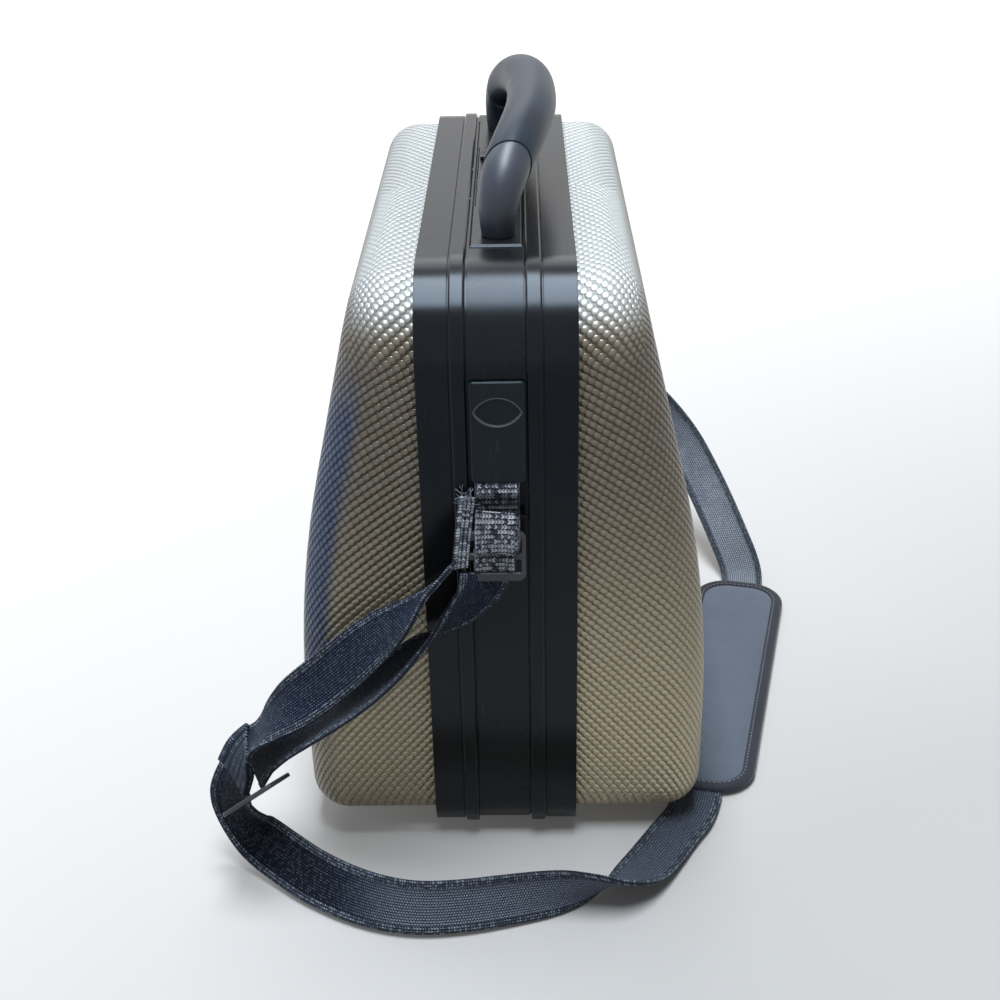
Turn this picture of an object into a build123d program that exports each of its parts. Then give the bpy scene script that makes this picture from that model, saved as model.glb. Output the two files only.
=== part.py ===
from build123d import *
from math import cos, degrees, pi, radians, sin, tan
import os

os.makedirs("parts", exist_ok=True)

# A cosmetic train case that stands on its hinge side: two textured shells on a black two-part frame,
# a tipping carry grip with a lock below it, and a webbing shoulder strap with a pad lying on the floor.
# X runs across the two shells, Y from the near side to the far side, Z up. The origin is on the floor
# below the middle of the case. All sizes are in millimetres.

# Case outline
case_height = 346.0
case_depth = 371.0
case_width = 230.0
corner_top = 46.0
corner_bottom = 28.0

# Frame: two half rings that meet at the parting plane
frame_width = 82.0
parting_x = -15.5
parting_gap = 0.3
lid_ridge_outer = -23.5
base_ridge_inner = 15.0
base_ridge_outer = 23.0
band_depth = 1.5
channel_depth = 2.5
ridge_chamfer = 0.7
groove_width = 0.9
groove_depth = 0.9

# Shells
shell_wall = 3.0
shell_inset = 6.5
shell_foot = 9.5
shell_top_width = 145.0
shell_lean = 13.0
shell_bend_drop = 110.0
shell_edge_radius = 22.0
lining_thickness = 1.2
lining_setback = 2.0
cut_overrun = 40.0

# Strips that cover the channel
strip_width = 28.4
strip_thickness = 1.3
strip_floor_gap = 40.0

# Handle
handle_plate_length = 251.0
handle_plate_width = 28.0
handle_plate_thickness = 2.2
handle_plate_chamfer = 1.2
plate_strip_gap = 2.0
foot_spacing = 216.0
grip_length = 190.0
arch_height = 45.5
arch_offset = 19.0
arch_power = 3.0
arch_lean_power = 2.3
arch_x = 1.0
arch_end_radius = 12.2
arch_swell = 1.8
foot_base_radius = 9.4
foot_taper_height = 28.0
foot_trim = 0.5
grip_gap = 0.3
pivot_pin_radius = 2.5
pivot_pin_length = 16.0
foot_screw_radius = 2.0
foot_screw_head = 3.6
foot_screw_length = 14.0

# Strap anchors, one on each narrow side
anchor_width = 28.0
anchor_top = 295.6
anchor_bottom = 238.8
anchor_proud = 1.0
anchor_edge = 0.6
anchor_corner = 2.0
scoop_width = 24.3
scoop_height = 15.4
scoop_centre = 278.9
scoop_depth = 1.0
recess_width = 26.6
recess_top = 247.0
recess_bottom = 218.0
recess_depth = 5.0
anchor_cover = 1.2
anchor_bar_radius = 1.3
anchor_bar_z = 241.5
anchor_bar_inset = 4.5

# Webbing, buckles and adjuster
webbing_width = 30.0
webbing_thickness = 1.2
loop_width = 23.4
loop_x = -1.0
loop_clearance = 0.1
buckle_width = 34.0
buckle_height = 28.0
buckle_thickness = 3.0
buckle_bar = 5.0
buckle_middle_bar = 4.0
buckle_slot_width = 29.0
buckle_corner = 4.0
buckle_x = -3.5
buckle_z = 200.0
buckle_y = 194.0
buckle_tilt = 8.0
adjuster_width = 36.0
adjuster_height = 28.0
adjuster_thickness = 2.4
adjuster_slope = 36.8
adjuster_roll = 28.6
adjuster_place = (-138.2, -214.2, 59.4)

# Shoulder pad
pad_length = 245.0
pad_width = 65.0
pad_corner = 25.0
pad_backing = 1.6
pad_lift = 0.6
pad_crown = 8.0
pad_backing_inset = 1.5
pad_centre_x = 146.0
pad_centre_y = -27.0
pad_turn = 76.3

# Lock under the grip
lock_length = 120.0
lock_width = 25.0
lock_depth = 13.5
lock_proud = 2.2
lock_bar_length = 92.0
lock_bar_height = 9.0
lock_bar_thickness = 2.0
lock_bar_x = -8.5
lock_travel = 7.0
lock_play = 0.3
peg_spacing = 60.0
peg_drop = 6.0
peg_neck_radius = 1.5
peg_head_radius = 2.4
peg_head_length = 2.0
peg_play = 0.5
peg_root = 5.0
peg_hole_reach = 5.0
button_length = 14.0
button_width = 11.0
button_height = 2.4
button_groove = 0.8
dial_radius = 5.4
dial_width = 4.6
dial_pitch = 7.0
dial_x = 5.5
dial_notches = 10
dial_axle_radius = 1.2
dial_bore_play = 0.03
dial_play = 0.3
dial_proud = 1.2
dial_axle_overhang = 3.0
lock_chamfer = 0.6

# Hinge along the bottom of the parting plane
hinge_height = 3.5
knuckle_radius = 3.0
knuckle_length = 14.0
knuckle_gap = 0.4
hinge_spacing = 110.0
hinge_count = 3
hinge_leaf = 2.4
hinge_room = 1.5
hinge_pin_radius = 1.2
hinge_pin_play = 0.03

# Inside
mirror_length = 130.0
mirror_height = 80.0
mirror_thickness = 3.0
mirror_border = 7.0
mirror_lap = 4.0
mirror_drop = 66.0
mirror_play = 0.2
mirror_stand = 1.0
mirror_frame_rise = 2.5
mirror_window_corner = 2.0
pocket_length = 190.0
pocket_bottom = 45.0
pocket_top = 150.0
pocket_depth = 18.0
pocket_cloth = 1.5
band_loops = 4
band_loop_radius = 20.0
band_pitch = 46.0
band_cloth = 1.5
band_height = 24.0
band_bottom = 48.0
band_end = 8.0
seal_width = 2.0
seal_inset = 3.0
seal_depth = 1.5
seal_proud = 0.2

# Places worked out from the sizes above
half_depth = case_depth / 2
half_frame = frame_width / 2
lid_face = parting_x - parting_gap
channel_side = half_depth - channel_depth
channel_top = case_height - channel_depth
inner_inset = shell_inset + shell_wall
inner_foot = shell_foot + shell_wall
plate_top = channel_top + handle_plate_thickness
lock_top = channel_top + lock_proud
lock_bottom = lock_top - lock_depth
peg_z = case_height - peg_drop
anchor_face = half_depth + anchor_proud
anchor_bar_y = half_depth - anchor_bar_inset
hinge_slot_half = knuckle_radius + hinge_room
hinge_slot_top = hinge_height + knuckle_radius + 0.7 * hinge_room
far = 2 * case_depth


def side_outline(inset, floor):
    # Outline of the case seen from the side, drawn in by the inset, with its own floor height.
    top = case_height - inset
    face = Rectangle(case_depth - 2 * inset, top - floor)
    upper = face.vertices().group_by(Axis.Y)[-1]
    face = fillet(upper, max(corner_top - inset, 2))
    lower = face.vertices().group_by(Axis.Y)[0]
    face = fillet(lower, max(corner_bottom - inset, 2))
    return Plane.YZ * Pos(0, (top + floor) / 2) * face


def slab(inset, floor, start, end):
    # The side outline as a plate between two X positions.
    return extrude(Pos(start, 0, 0) * side_outline(inset, floor), end - start)


def block(x_range, y_range, z_range):
    # A plain box between given limits.
    size = [b - a for a, b in (x_range, y_range, z_range)]
    centre = [(a + b) / 2 for a, b in (x_range, y_range, z_range)]
    return Pos(*centre) * Box(*size)


def rod(start, end, radius):
    # A round bar between two points.
    line = Line(start, end)
    return extrude(Plane(origin=start, z_dir=line @ 1 - line @ 0) * Circle(radius), line.length)


def far_side(piece):
    return mirror(piece, about=Plane.XZ)


def lid_side(piece):
    return mirror(piece, about=Plane.YZ)


def shell_profile():
    # Half of the case seen from the front: a leaning side that bends into an upright one.
    top = case_height - shell_inset
    lean = radians(shell_lean)
    foot = case_width / 2
    head = shell_top_width / 2
    bend_x = head + shell_bend_drop * tan(lean)
    bend_z = top - shell_bend_drop
    radius = (foot - bend_x) / (1 - cos(lean))
    end_z = bend_z - radius * sin(lean)
    middle = (foot - radius * (1 - cos(lean / 2)), end_z + radius * sin(lean / 2))
    over = cut_overrun
    peak = (head - over * tan(lean), top + over)
    corner = (-frame_width, -over)
    edges = [
        Line((-frame_width, top + over), peak),
        Line(peak, (bend_x, bend_z)),
        ThreePointArc((bend_x, bend_z), middle, (foot, end_z)),
        Line((foot, end_z), (foot, -over)),
        Line((foot, -over), corner),
        Line(corner, (-frame_width, top + over)),
    ]
    return make_face(edges)


def shell_form(skin, start):
    # The bulging half of the case as a solid, drawn in by a skin, from an X position outward.
    body = slab(shell_inset + skin, shell_foot + skin, start, case_width)
    profile = shell_profile()
    if skin:
        profile = offset(profile, -skin)
    body = body & extrude(Plane.XZ * profile, case_depth, both=True)
    faces = body.faces().filter_by(lambda face: face.normal_at().X > 0.5)
    seen = ShapeList()
    for face in faces:
        seen += face.edges()
    rim = [edge for edge in seen if sum(edge.is_same(other) for other in seen) == 1]
    return fillet(rim, max(shell_edge_radius - skin, 2))


def shell():
    return shell_form(0, half_frame) - shell_form(shell_wall, half_frame - 1)


def lining(start):
    outer = shell_form(shell_wall, start)
    return outer - shell_form(shell_wall + lining_thickness, start - 1)


def frame_ring(steps):
    # A ring from plates of the given depths, opened by the cavity.
    start = min(step[0] for step in steps)
    end = max(step[1] for step in steps)
    ring = None
    for low, high, depth in steps:
        plate = slab(depth, depth, low, high)
        if depth == 0:
            sides = [face for face in plate.faces() if abs(face.normal_at().X) > 0.9]
            plate = chamfer([edge for face in sides for edge in face.edges()], ridge_chamfer)
        ring = plate if ring is None else ring + plate
    return ring - slab(inner_inset, inner_foot, start - 1, end + 1)


def hinge_slot():
    width = (parting_x - hinge_slot_half, parting_x + hinge_slot_half)
    return block(width, (-far, far), (-1, hinge_slot_top))


def peg_places():
    return [(y, peg_z) for y in (-peg_spacing / 2, peg_spacing / 2)]


def peg_holes():
    holes = []
    for y, z in peg_places():
        radius = peg_head_radius + peg_play
        holes.append(rod((parting_x - 1, y, z), (lock_bar_x + peg_hole_reach, y, z), radius))
    return holes


def lock_room():
    side = lock_width / 2
    return block((-side, side), (-lock_length / 2, lock_length / 2), (lock_bottom, lock_top))


def anchor_recess():
    side = channel_side - recess_depth
    width = recess_width / 2
    return block((-width, width), (-channel_side - 1, -side), (recess_bottom, recess_top))


def base_frame():
    groove = channel_depth + groove_depth
    steps = [
        (parting_x, base_ridge_inner - groove_width, channel_depth),
        (base_ridge_inner - groove_width, base_ridge_inner, groove),
        (base_ridge_inner, base_ridge_outer, 0),
        (base_ridge_outer, base_ridge_outer + groove_width, band_depth + groove_depth),
        (base_ridge_outer + groove_width, half_frame, band_depth),
    ]
    frame = frame_ring(steps) - hinge_slot() - lock_room()
    for hole in peg_holes():
        frame -= hole
    for screw in foot_screws():
        frame -= screw
    recess = anchor_recess()
    return frame - recess - far_side(recess)


def seal_ring():
    depth = seal_depth
    outer = slab(seal_inset, seal_inset, lid_face - depth, lid_face + seal_proud)
    middle = seal_inset + seal_width
    inner = slab(middle, middle, lid_face - depth - 1, lid_face + 1)
    ring = outer - inner
    lock_gap = lock_length / 2
    ring -= block((-far, far), (-lock_gap, lock_gap), (case_height - inner_inset, far))
    return ring - block((-far, far), (-far, far), (-1, corner_bottom))


def lid_frame():
    steps = [
        (-half_frame, lid_ridge_outer - groove_width, band_depth),
        (lid_ridge_outer - groove_width, lid_ridge_outer, band_depth + groove_depth),
        (lid_ridge_outer, lid_face, 0),
    ]
    frame = frame_ring(steps) - hinge_slot() - seal_ring()
    for peg in catch_pegs():
        frame -= peg
    return frame


def cover_strips():
    # The near cover strip in two lengths, above and below the anchor plate.
    outer = channel_depth - strip_thickness
    side = strip_width / 2
    skin = slab(outer, outer, -side, side) - slab(channel_depth, channel_depth, -side - 1, side + 1)
    edge = handle_plate_length / 2 + plate_strip_gap
    skin = skin & block((-far, far), (-far, -edge), (strip_floor_gap, far))
    upper = skin & block((-far, far), (-far, far), (anchor_top + anchor_edge, far))
    lower = skin & block((-far, far), (-far, far), (0, recess_bottom))
    return upper, lower


def handle_plate():
    side = handle_plate_width / 2
    length = handle_plate_length / 2
    plate = block((-side, side), (-length, length), (channel_top, plate_top))
    rim = plate.faces().sort_by(Axis.Z)[-1].edges()
    plate = chamfer(rim, handle_plate_chamfer)
    for screw in foot_screw_places():
        plate -= rod((*screw, channel_top - 1), (*screw, plate_top + 1), foot_screw_radius)
    return plate - lock_room()


def arch_point(turn):
    # Middle line of the handle: an arch that leans to the base side.
    reach = foot_spacing / 2
    y = -reach * (1 if cos(turn) > 0 else -1) * abs(cos(turn)) ** (2 / arch_power)
    rise = arch_height * abs(sin(turn)) ** (2 / arch_power)
    x = arch_x + arch_offset * (1 - abs(y / reach) ** arch_lean_power)
    return Vector(x, y, case_height + rise)


def arch_radius(turn, trim):
    share = abs(arch_point(turn).Y) / (foot_spacing / 2)
    swell = arch_swell * (1 - share ** arch_lean_power)
    rise = arch_point(turn).Z - case_height
    taper = (arch_end_radius - foot_base_radius) * max(1 - rise / foot_taper_height, 0)
    return arch_end_radius + swell - taper - trim


def arch_tube(turns, trim):
    sections = []
    step = 0.01
    for turn in turns:
        low = max(turn - step, 0)
        high = min(turn + step, pi)
        along = arch_point(high) - arch_point(low)
        if turn in (0, pi):
            along = Vector(0, 0, 1 if turn == 0 else -1)
        place = Plane(origin=arch_point(turn), x_dir=(1, 0, 0), z_dir=along)
        sections.append(place * Circle(arch_radius(turn, trim)))
    return loft(sections)


def pivot_place():
    # Where the arch crosses the face between foot and grip.
    share = grip_length / foot_spacing
    rise = arch_height * (1 - share ** arch_power) ** (1 / arch_power)
    return arch_x + arch_offset * (1 - share ** arch_lean_power), case_height + rise


def handle_grip():
    turns = [pi * step / 24 for step in range(3, 22)]
    tube = arch_tube(turns, 0)
    half = grip_length / 2
    grip = tube & block((-far, far), (-half, half), (0, far))
    for pin in pivot_pins(hinge_pin_play):
        grip -= pin
    return grip


def near_foot():
    turns = [pi * step / 48 for step in range(0, 15)]
    tube = arch_tube(turns, foot_trim)
    edge = grip_length / 2 + grip_gap
    foot = tube & block((-far, far), (-far, -edge), (plate_top, far))
    for pin in pivot_pins(0):
        foot -= pin
    x, y = foot_screw_places()[0]
    shank = foot_screw_radius
    return foot - rod((x, y, plate_top - 1), (x, y, inner_top() + foot_screw_length), shank)


def pivot_pins(play):
    x, z = pivot_place()
    middle = (grip_length + grip_gap) / 2
    low, high = middle - pivot_pin_length / 2, middle + pivot_pin_length / 2
    return [rod((x, side * low, z), (x, side * high, z), pivot_pin_radius + play) for side in (-1, 1)]


def inner_top():
    return case_height - inner_inset


def foot_screw_places():
    reach = foot_spacing / 2
    return [(arch_x, -reach), (arch_x, reach)]


def foot_screws():
    # Screws from inside the case up into the two feet.
    screws = []
    low = inner_top()
    for x, y in foot_screw_places():
        shank = rod((x, y, low), (x, y, low + foot_screw_length), foot_screw_radius)
        head = rod((x, y, low - lining_thickness), (x, y, low), foot_screw_head)
        screws.append(shank + head)
    return screws


def anchor_bar():
    half = recess_width / 2
    return rod((-half, -anchor_bar_y, anchor_bar_z), (half, -anchor_bar_y, anchor_bar_z), anchor_bar_radius)


def upright_plate(width, low, high, inner, outer):
    # A plate with rounded corners on the near side, between two distances from the middle.
    outline = RectangleRounded(width, high - low, anchor_corner)
    face = Plane.XZ.offset(inner) * Pos(0, (low + high) / 2) * outline
    return extrude(face, outer - inner)


def anchor_plate():
    plate = upright_plate(anchor_width, anchor_bottom, anchor_top, channel_side, anchor_face)
    plate = chamfer(plate.faces().sort_by(Axis.Y)[0].edges(), anchor_edge)
    half = recess_width / 2
    cover = anchor_face - anchor_cover
    plate -= block((-half, half), (-cover, -channel_side), (anchor_bottom - 1, recess_top))
    return plate - thumb_scoop()


def thumb_scoop():
    # A lens-shaped hollow made of two arcs.
    half_width, half_height = scoop_width / 2, scoop_height / 2
    left, right = (-half_width, scoop_centre), (half_width, scoop_centre)
    over = ThreePointArc(left, (0, scoop_centre + half_height), right)
    under = ThreePointArc(right, (0, scoop_centre - half_height), left)
    face = Plane.XZ.offset(anchor_face - scoop_depth) * make_face([over, under])
    return extrude(face, scoop_depth + 1)


def buckle_frame():
    # Near buckle: its plane is tilted so that the top leans to the case.
    return Pos(buckle_x, -buckle_y, buckle_z) * Rot(-buckle_tilt, 0, 0)


def three_bar(width, height, thickness):
    # A three-bar slide lying in the XZ plane, thickness along Y.
    face = RectangleRounded(width, height, buckle_corner)
    slot = (height - 2 * buckle_bar - buckle_middle_bar) / 2
    place = (slot + buckle_middle_bar) / 2
    for side in (-1, 1):
        face -= Pos(0, side * place) * RectangleRounded(buckle_slot_width, slot, slot / 8)
    plate = extrude(Plane.XZ * face, thickness / 2, both=True)
    outer = plate.faces().filter_by(lambda f: abs(f.normal_at().Y) > 0.9)
    return chamfer(outer.edges(), thickness / 6)


def near_buckle():
    return buckle_frame() * three_bar(buckle_width, buckle_height, buckle_thickness)


def buckle_top_bar():
    # Middle of the buckle's upper bar.
    place = buckle_frame() * Pos(0, 0, (buckle_height - buckle_bar) / 2)
    return place.position


def around(radius_one, radius_two):
    # The outline of a belt round the anchor bar and the buckle's upper bar.
    top = buckle_top_bar()
    one = Pos(-anchor_bar_y, anchor_bar_z) * Circle(radius_one)
    two = Pos(top.Y, top.Z) * Circle(radius_two)
    return Plane.YZ * make_hull([*one.edges(), *two.edges()])


def near_loop():
    inner_one = anchor_bar_radius + loop_clearance
    inner_two = ((buckle_bar / 2) ** 2 + (buckle_thickness / 2) ** 2) ** 0.5 + loop_clearance
    outer = around(inner_one + webbing_thickness, inner_two + webbing_thickness)
    belt = outer - around(inner_one, inner_two)
    return Pos(loop_x, 0, 0) * extrude(belt, loop_width / 2, both=True)


def webbing(name, rows, width=webbing_width):
    # A flat strap along straight runs and tangent arcs. Each row is a point and the way its width lies.
    points = [Vector(*row[0]) for row in rows]
    ways = [Vector(*row[1]).normalized() for row in rows]
    runs = [b - a for a, b in zip(points, points[1:])]
    radii = []
    for before, after in zip(runs, runs[1:]):
        turn = radians(before.get_angle(after))
        radii.append(0.45 * min(before.length, after.length) / tan(turn / 2))
    path = FilletPolyline(*points, radius=radii)
    marks = [0]
    for run in runs:
        marks.append(marks[-1] + run.length)
    steps = round(path.length / (webbing_width / 4))
    sections = []
    for step in range(steps + 1):
        share = step / steps
        place = share * marks[-1]
        index = max(i for i in range(len(runs)) if marks[i] <= place + 0.001)
        part = (place - marks[index]) / (marks[index + 1] - marks[index])
        along = path.tangent_at(share)
        across = ways[index] * (1 - part) + ways[index + 1] * part
        across = (across - along * across.dot(along)).normalized() * (width / 2)
        out = along.cross(across).normalized() * (webbing_thickness / 2)
        centre = path.position_at(share)
        corners = [centre + across + out, centre - across + out, centre - across - out, centre + across - out]
        sections.append(Wire.make_polygon(corners, close=True))
    strap = Solid.make_loft(sections, ruled=True)
    print(name, "corner radii", [round(radius) for radius in radii], "length", round(path.length))
    print(name, "volume over section times length", strap.volume / (width * webbing_thickness * path.length))
    return strap


# Strap routes, chosen by hand: point, then the direction across the webbing
front_route = [
    ((-150.3, -199, 58.5), (0.98, -0.09, -0.20)),
    ((-155.9, -199, 47.8), (0.99, -0.06, -0.15)),
    ((-155.2, -199.5, 38.0), (1, 0.01, -0.02)),
    ((-151.3, -201, 27.0), (0.98, 0.06, 0.16)),
    ((-143.7, -203, 18.0), (0.9, 0.18, 0.38)),
    ((-126.6, -214.1, 13.5), (0.72, 0.34, 0.64)),
    ((-105.2, -232.2, 13.0), (0.60, 0.39, 0.72)),
    ((-77, -249.4, 14.0), (0.40, 0.44, 0.80)),
    ((-50.3, -257.8, 15.2), (0.11, 0.44, 0.89)),
    ((-22.5, -256.3, 15.4), (-0.11, 0.38, 0.92)),
    ((5.1, -250.9, 15.3), (-0.19, 0.25, 0.95)),
    ((30.6, -245.8, 15.2), (-0.17, 0.05, 0.98)),
    ((50.4, -241.6, 14.2), (-0.1, -0.45, 0.88)),
    ((65, -235.6, 11.0), (0.1, -0.82, 0.55)),
    ((77.5, -221.1, 7.0), (0.3, -0.94, 0.12)),
    ((88.6, -203.3, 4.6), (0.59, -0.79, -0.04)),
    ((99.5, -184.3, 3.6), (0.81, -0.59, -0.02)),
    ((111.9, -166.8, 3.1), (0.95, -0.28, 0)),
    ((116.9, -146.4, 3.0), (0.97, -0.24, 0)),
]
rear_route = [
    ((175.1, 92.4, 3.0), (0.97, -0.24, 0)),
    ((176.7, 99, 4.2), (0.97, -0.24, 0.05)),
    ((174.4, 108, 14), (0.95, -0.2, 0.15)),
    ((167.8, 120, 27.5), (0.93, -0.12, 0.30)),
    ((159.7, 138, 43.2), (0.9, 0.06, 0.40)),
    ((150.2, 159, 59.2), (0.88, 0.15, 0.45)),
    ((133.7, 184, 84.9), (0.82, 0.2, 0.54)),
    ((100, 202, 118), (0.66, 0.05, 0.75)),
    ((62, 206, 145), (0.70, 0, 0.70)),
    ((28, 205, 159), (0.85, 0, 0.50)),
    ((6, 202.5, 167), (0.95, 0, 0.25)),
    ((-3.5, 199.5, 176), (1, 0, 0)),
    ((-3.5, 196.5, 185.2), (1, 0, 0)),
]
upper_route = [
    ((-21.7, -204, 187.5), (0, 1, 0)),
    ((-29, -204.3, 177.5), (0, 0.98, 0.15)),
    ((-43, -204, 165.0), (-0.3, 0.75, 0.6)),
    ((-61.5, -203, 145.5), (-0.51, 0.45, 0.62)),
    ((-83, -202, 127.0), (-0.51, 0.41, 0.62)),
    ((-106.4, -201, 107.0), (-0.51, 0.41, 0.62)),
    ((-127.3, -201, 89.0), (-0.35, 0.6, 0.5)),
    ((-139, -202, 75), (0.1, 0.95, 0.3)),
    ((-146.5, -202.5, 62), (0.3, 0.95, 0.1)),
]
lower_route = [
    ((-3.5, -196, 185.2), (1, 0, 0)),
    ((-3.5, -197.2, 176.8), (0.99, 0, 0)),
    ((-13, -200.5, 164.5), (0.8, 0.45, -0.5)),
    ((-32, -205.5, 147.5), (0.3, 0.92, -0.2)),
    ((-53, -205.5, 129.0), (0.05, 0.98, 0)),
    ((-76, -205, 112.0), (0, 1, 0)),
    ((-98.5, -204.5, 94.0), (0, 1, 0)),
    ((-117.5, -204, 78.2), (0, 0.97, -0.2)),
    ((-127, -203.5, 70.5), (0, 0.92, -0.38)),
]
free_route = [
    ((-18.2, -198.5, 214.2), (0.35, 0.92, -0.12)),
    ((-19.2, -200.5, 221.0), (0.35, 0.9, 0.1)),
    ((-19.6, -201.5, 230.5), (0.35, 0.9, 0.1)),
]
free_end_width = 16.0


def adjuster():
    # The slide near the lowest point of the two layers, edge-on to the near side.
    plate = three_bar(adjuster_width, adjuster_height, adjuster_thickness)
    return Pos(*adjuster_place) * Rot(0, -adjuster_slope, 0) * Rot(90 - adjuster_roll, 0, 0) * plate


def pad_place():
    return Pos(pad_centre_x, pad_centre_y, pad_lift) * Rot(0, 0, pad_turn)


def pad_wire(inset, height):
    radius = max(pad_corner - inset, 2)
    face = Pos(0, 0, height) * RectangleRounded(pad_length - 2 * inset, pad_width - 2 * inset, radius)
    return face.wire()


def pad_cushion():
    # Drawn in at the bound edge, full at a third of its height and crowned on top.
    thickness = pad_crown - pad_backing - pad_lift
    shares = [(2.2, 0), (0.6, 0.12), (0, 0.28), (0.3, 0.42), (1.4, 0.58), (3.6, 0.74), (7.5, 0.89), (13.5, 1)]
    wires = [pad_wire(inset, pad_backing + share * thickness) for inset, share in shares]
    return pad_place() * Solid.make_loft(wires, ruled=True)


def pad_back():
    inset = pad_backing_inset
    face = RectangleRounded(pad_length - 2 * inset, pad_width - 2 * inset, pad_corner - inset)
    return pad_place() * extrude(face, pad_backing)


def lock_bar_box(play, travel):
    half = lock_bar_length / 2
    side = lock_bar_thickness / 2
    height = lock_bar_height / 2
    x_range = (lock_bar_x - side - play, lock_bar_x + side + play)
    y_range = (-half - play, half + play + travel)
    return block(x_range, y_range, (peg_z - height - play, peg_z + height + play))


def lock_slide_bar():
    # Each catch has a round mouth for the peg's head and a narrow slot that traps its neck.
    bar = lock_bar_box(0, 0)
    side = lock_bar_thickness
    for y, z in peg_places():
        mouth = peg_head_radius + peg_play
        neck = peg_neck_radius + peg_play
        bar -= rod((lock_bar_x - side, y, z), (lock_bar_x + side, y, z), mouth)
        slot = block((-side, side), (y - lock_travel, y), (z - neck, z + neck))
        bar -= Pos(lock_bar_x, 0, 0) * slot
        bar -= rod((lock_bar_x - side, y - lock_travel, z), (lock_bar_x + side, y - lock_travel, z), neck)
    return bar


def button_place():
    return lock_bar_length / 2 - button_length / 2


def lock_button():
    x, y = lock_bar_x, button_place()
    stem_side = lock_bar_thickness / 2
    stem_length = button_length / 4
    top = lock_top + lock_play
    bar_top = peg_z + lock_bar_height / 2
    stem = block((x - stem_side, x + stem_side), (y - stem_length, y + stem_length), (bar_top, top))
    cap_side = button_width / 2
    cap_x = x + cap_side / 2
    cap = block((cap_x - cap_side, cap_x + cap_side), (y - button_length / 2, y + button_length / 2),
                (top, top + button_height))
    cap = chamfer(cap.faces().sort_by(Axis.Z)[-1].edges(), button_height / 4)
    for step in (-1, 0, 1):
        ridge = y + step * button_length / 4
        groove = (ridge - button_groove / 2, ridge + button_groove / 2)
        cap -= block((-far, far), groove, (top + 0.75 * button_height, far))
    return stem + cap


def dial_places():
    return [step * dial_pitch for step in (-1, 0, 1)]


def dial_height():
    return lock_top + dial_proud - dial_radius


def dial(y):
    height = dial_height()
    wheel = rod((dial_x, y - dial_width / 2, height), (dial_x, y + dial_width / 2, height), dial_radius)
    for step in range(dial_notches):
        angle = 2 * pi * (step + 0.5) / dial_notches
        x, z = dial_x + dial_radius * cos(angle), height + dial_radius * sin(angle)
        wheel -= rod((x, y - dial_width, z), (x, y + dial_width, z), dial_radius / 9)
    return wheel - dial_axle_rod(dial_bore_play)


def dial_axle_rod(play):
    reach = 1.5 * dial_pitch + dial_axle_overhang
    return rod((dial_x, -reach, dial_height()), (dial_x, reach, dial_height()), dial_axle_radius + play)


def lock_housing():
    body = chamfer(lock_room().faces().sort_by(Axis.Z)[-1].edges(), lock_chamfer)
    body -= lock_bar_box(lock_play, lock_travel)
    for hole in peg_holes():
        body -= hole
    for y, z in peg_places():
        room = peg_head_radius + peg_play
        travel = (y - room, y + lock_travel + room)
        body -= block((lock_bar_x, lock_bar_x + peg_hole_reach), travel, (z - room, z + room))
    stem_side = lock_bar_thickness / 2 + lock_play
    stem_length = button_length / 4 + lock_play
    y = button_place()
    stem_x = (lock_bar_x - stem_side, lock_bar_x + stem_side)
    stem_y = (y - stem_length, y + stem_length + lock_travel)
    body -= block(stem_x, stem_y, (peg_z, far))
    for y in dial_places():
        start, end = y - dial_width / 2 - dial_play, y + dial_width / 2 + dial_play
        height = dial_height()
        body -= rod((dial_x, start, height), (dial_x, end, height), dial_radius + dial_play)
    return body - dial_axle_rod(0)


def catch_pegs():
    pegs = []
    for y, z in peg_places():
        head_start = lock_bar_x + lock_bar_thickness / 2 + lock_play
        neck = rod((lid_face - peg_root, y, z), (head_start, y, z), peg_neck_radius)
        head = rod((head_start, y, z), (head_start + peg_head_length, y, z), peg_head_radius)
        pegs.append(neck + head)
    return pegs


def hinge_places():
    middle = (hinge_count - 1) / 2
    return [(step - middle) * hinge_spacing for step in range(hinge_count)]


def knuckles(offsets, leaf_end):
    # Hinge barrels at the given offsets from each hinge's middle, with a leaf to the frame.
    pieces = []
    for y in hinge_places():
        for offset_y in offsets:
            start, end = y + offset_y - knuckle_length / 2, y + offset_y + knuckle_length / 2
            axis_start = (parting_x, start, hinge_height)
            barrel = rod(axis_start, (parting_x, end, hinge_height), knuckle_radius)
            x_range = (min(parting_x, leaf_end), max(parting_x, leaf_end))
            z_range = (hinge_height - hinge_leaf / 2, hinge_height + hinge_leaf / 2)
            leaf = block(x_range, (start, end), z_range)
            bore = rod(axis_start, (parting_x, end, hinge_height), hinge_pin_radius + hinge_pin_play)
            pieces.append(barrel + leaf - bore)
    return pieces


def hinge_pins():
    reach = 1.5 * knuckle_length + knuckle_gap
    return [rod((parting_x, y - reach, hinge_height), (parting_x, y + reach, hinge_height), hinge_pin_radius)
            for y in hinge_places()]


def mirror_plane():
    # A plane on the leaning wall of the base side, facing into the case.
    lean = radians(shell_lean)
    skin = shell_wall + lining_thickness
    x = shell_top_width / 2 + mirror_drop * sin(lean) - skin * cos(lean)
    z = case_height - shell_inset - mirror_drop * cos(lean) - skin * sin(lean)
    return Plane(origin=(x, 0, z), x_dir=(0, 1, 0), z_dir=(-cos(lean), 0, -sin(lean)))


def mirror_glass():
    seat = (Align.CENTER, Align.CENTER, Align.MIN)
    size = Box(mirror_length, mirror_height, mirror_thickness, align=seat)
    return mirror_plane() * Pos(0, 0, mirror_stand) * size


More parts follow.
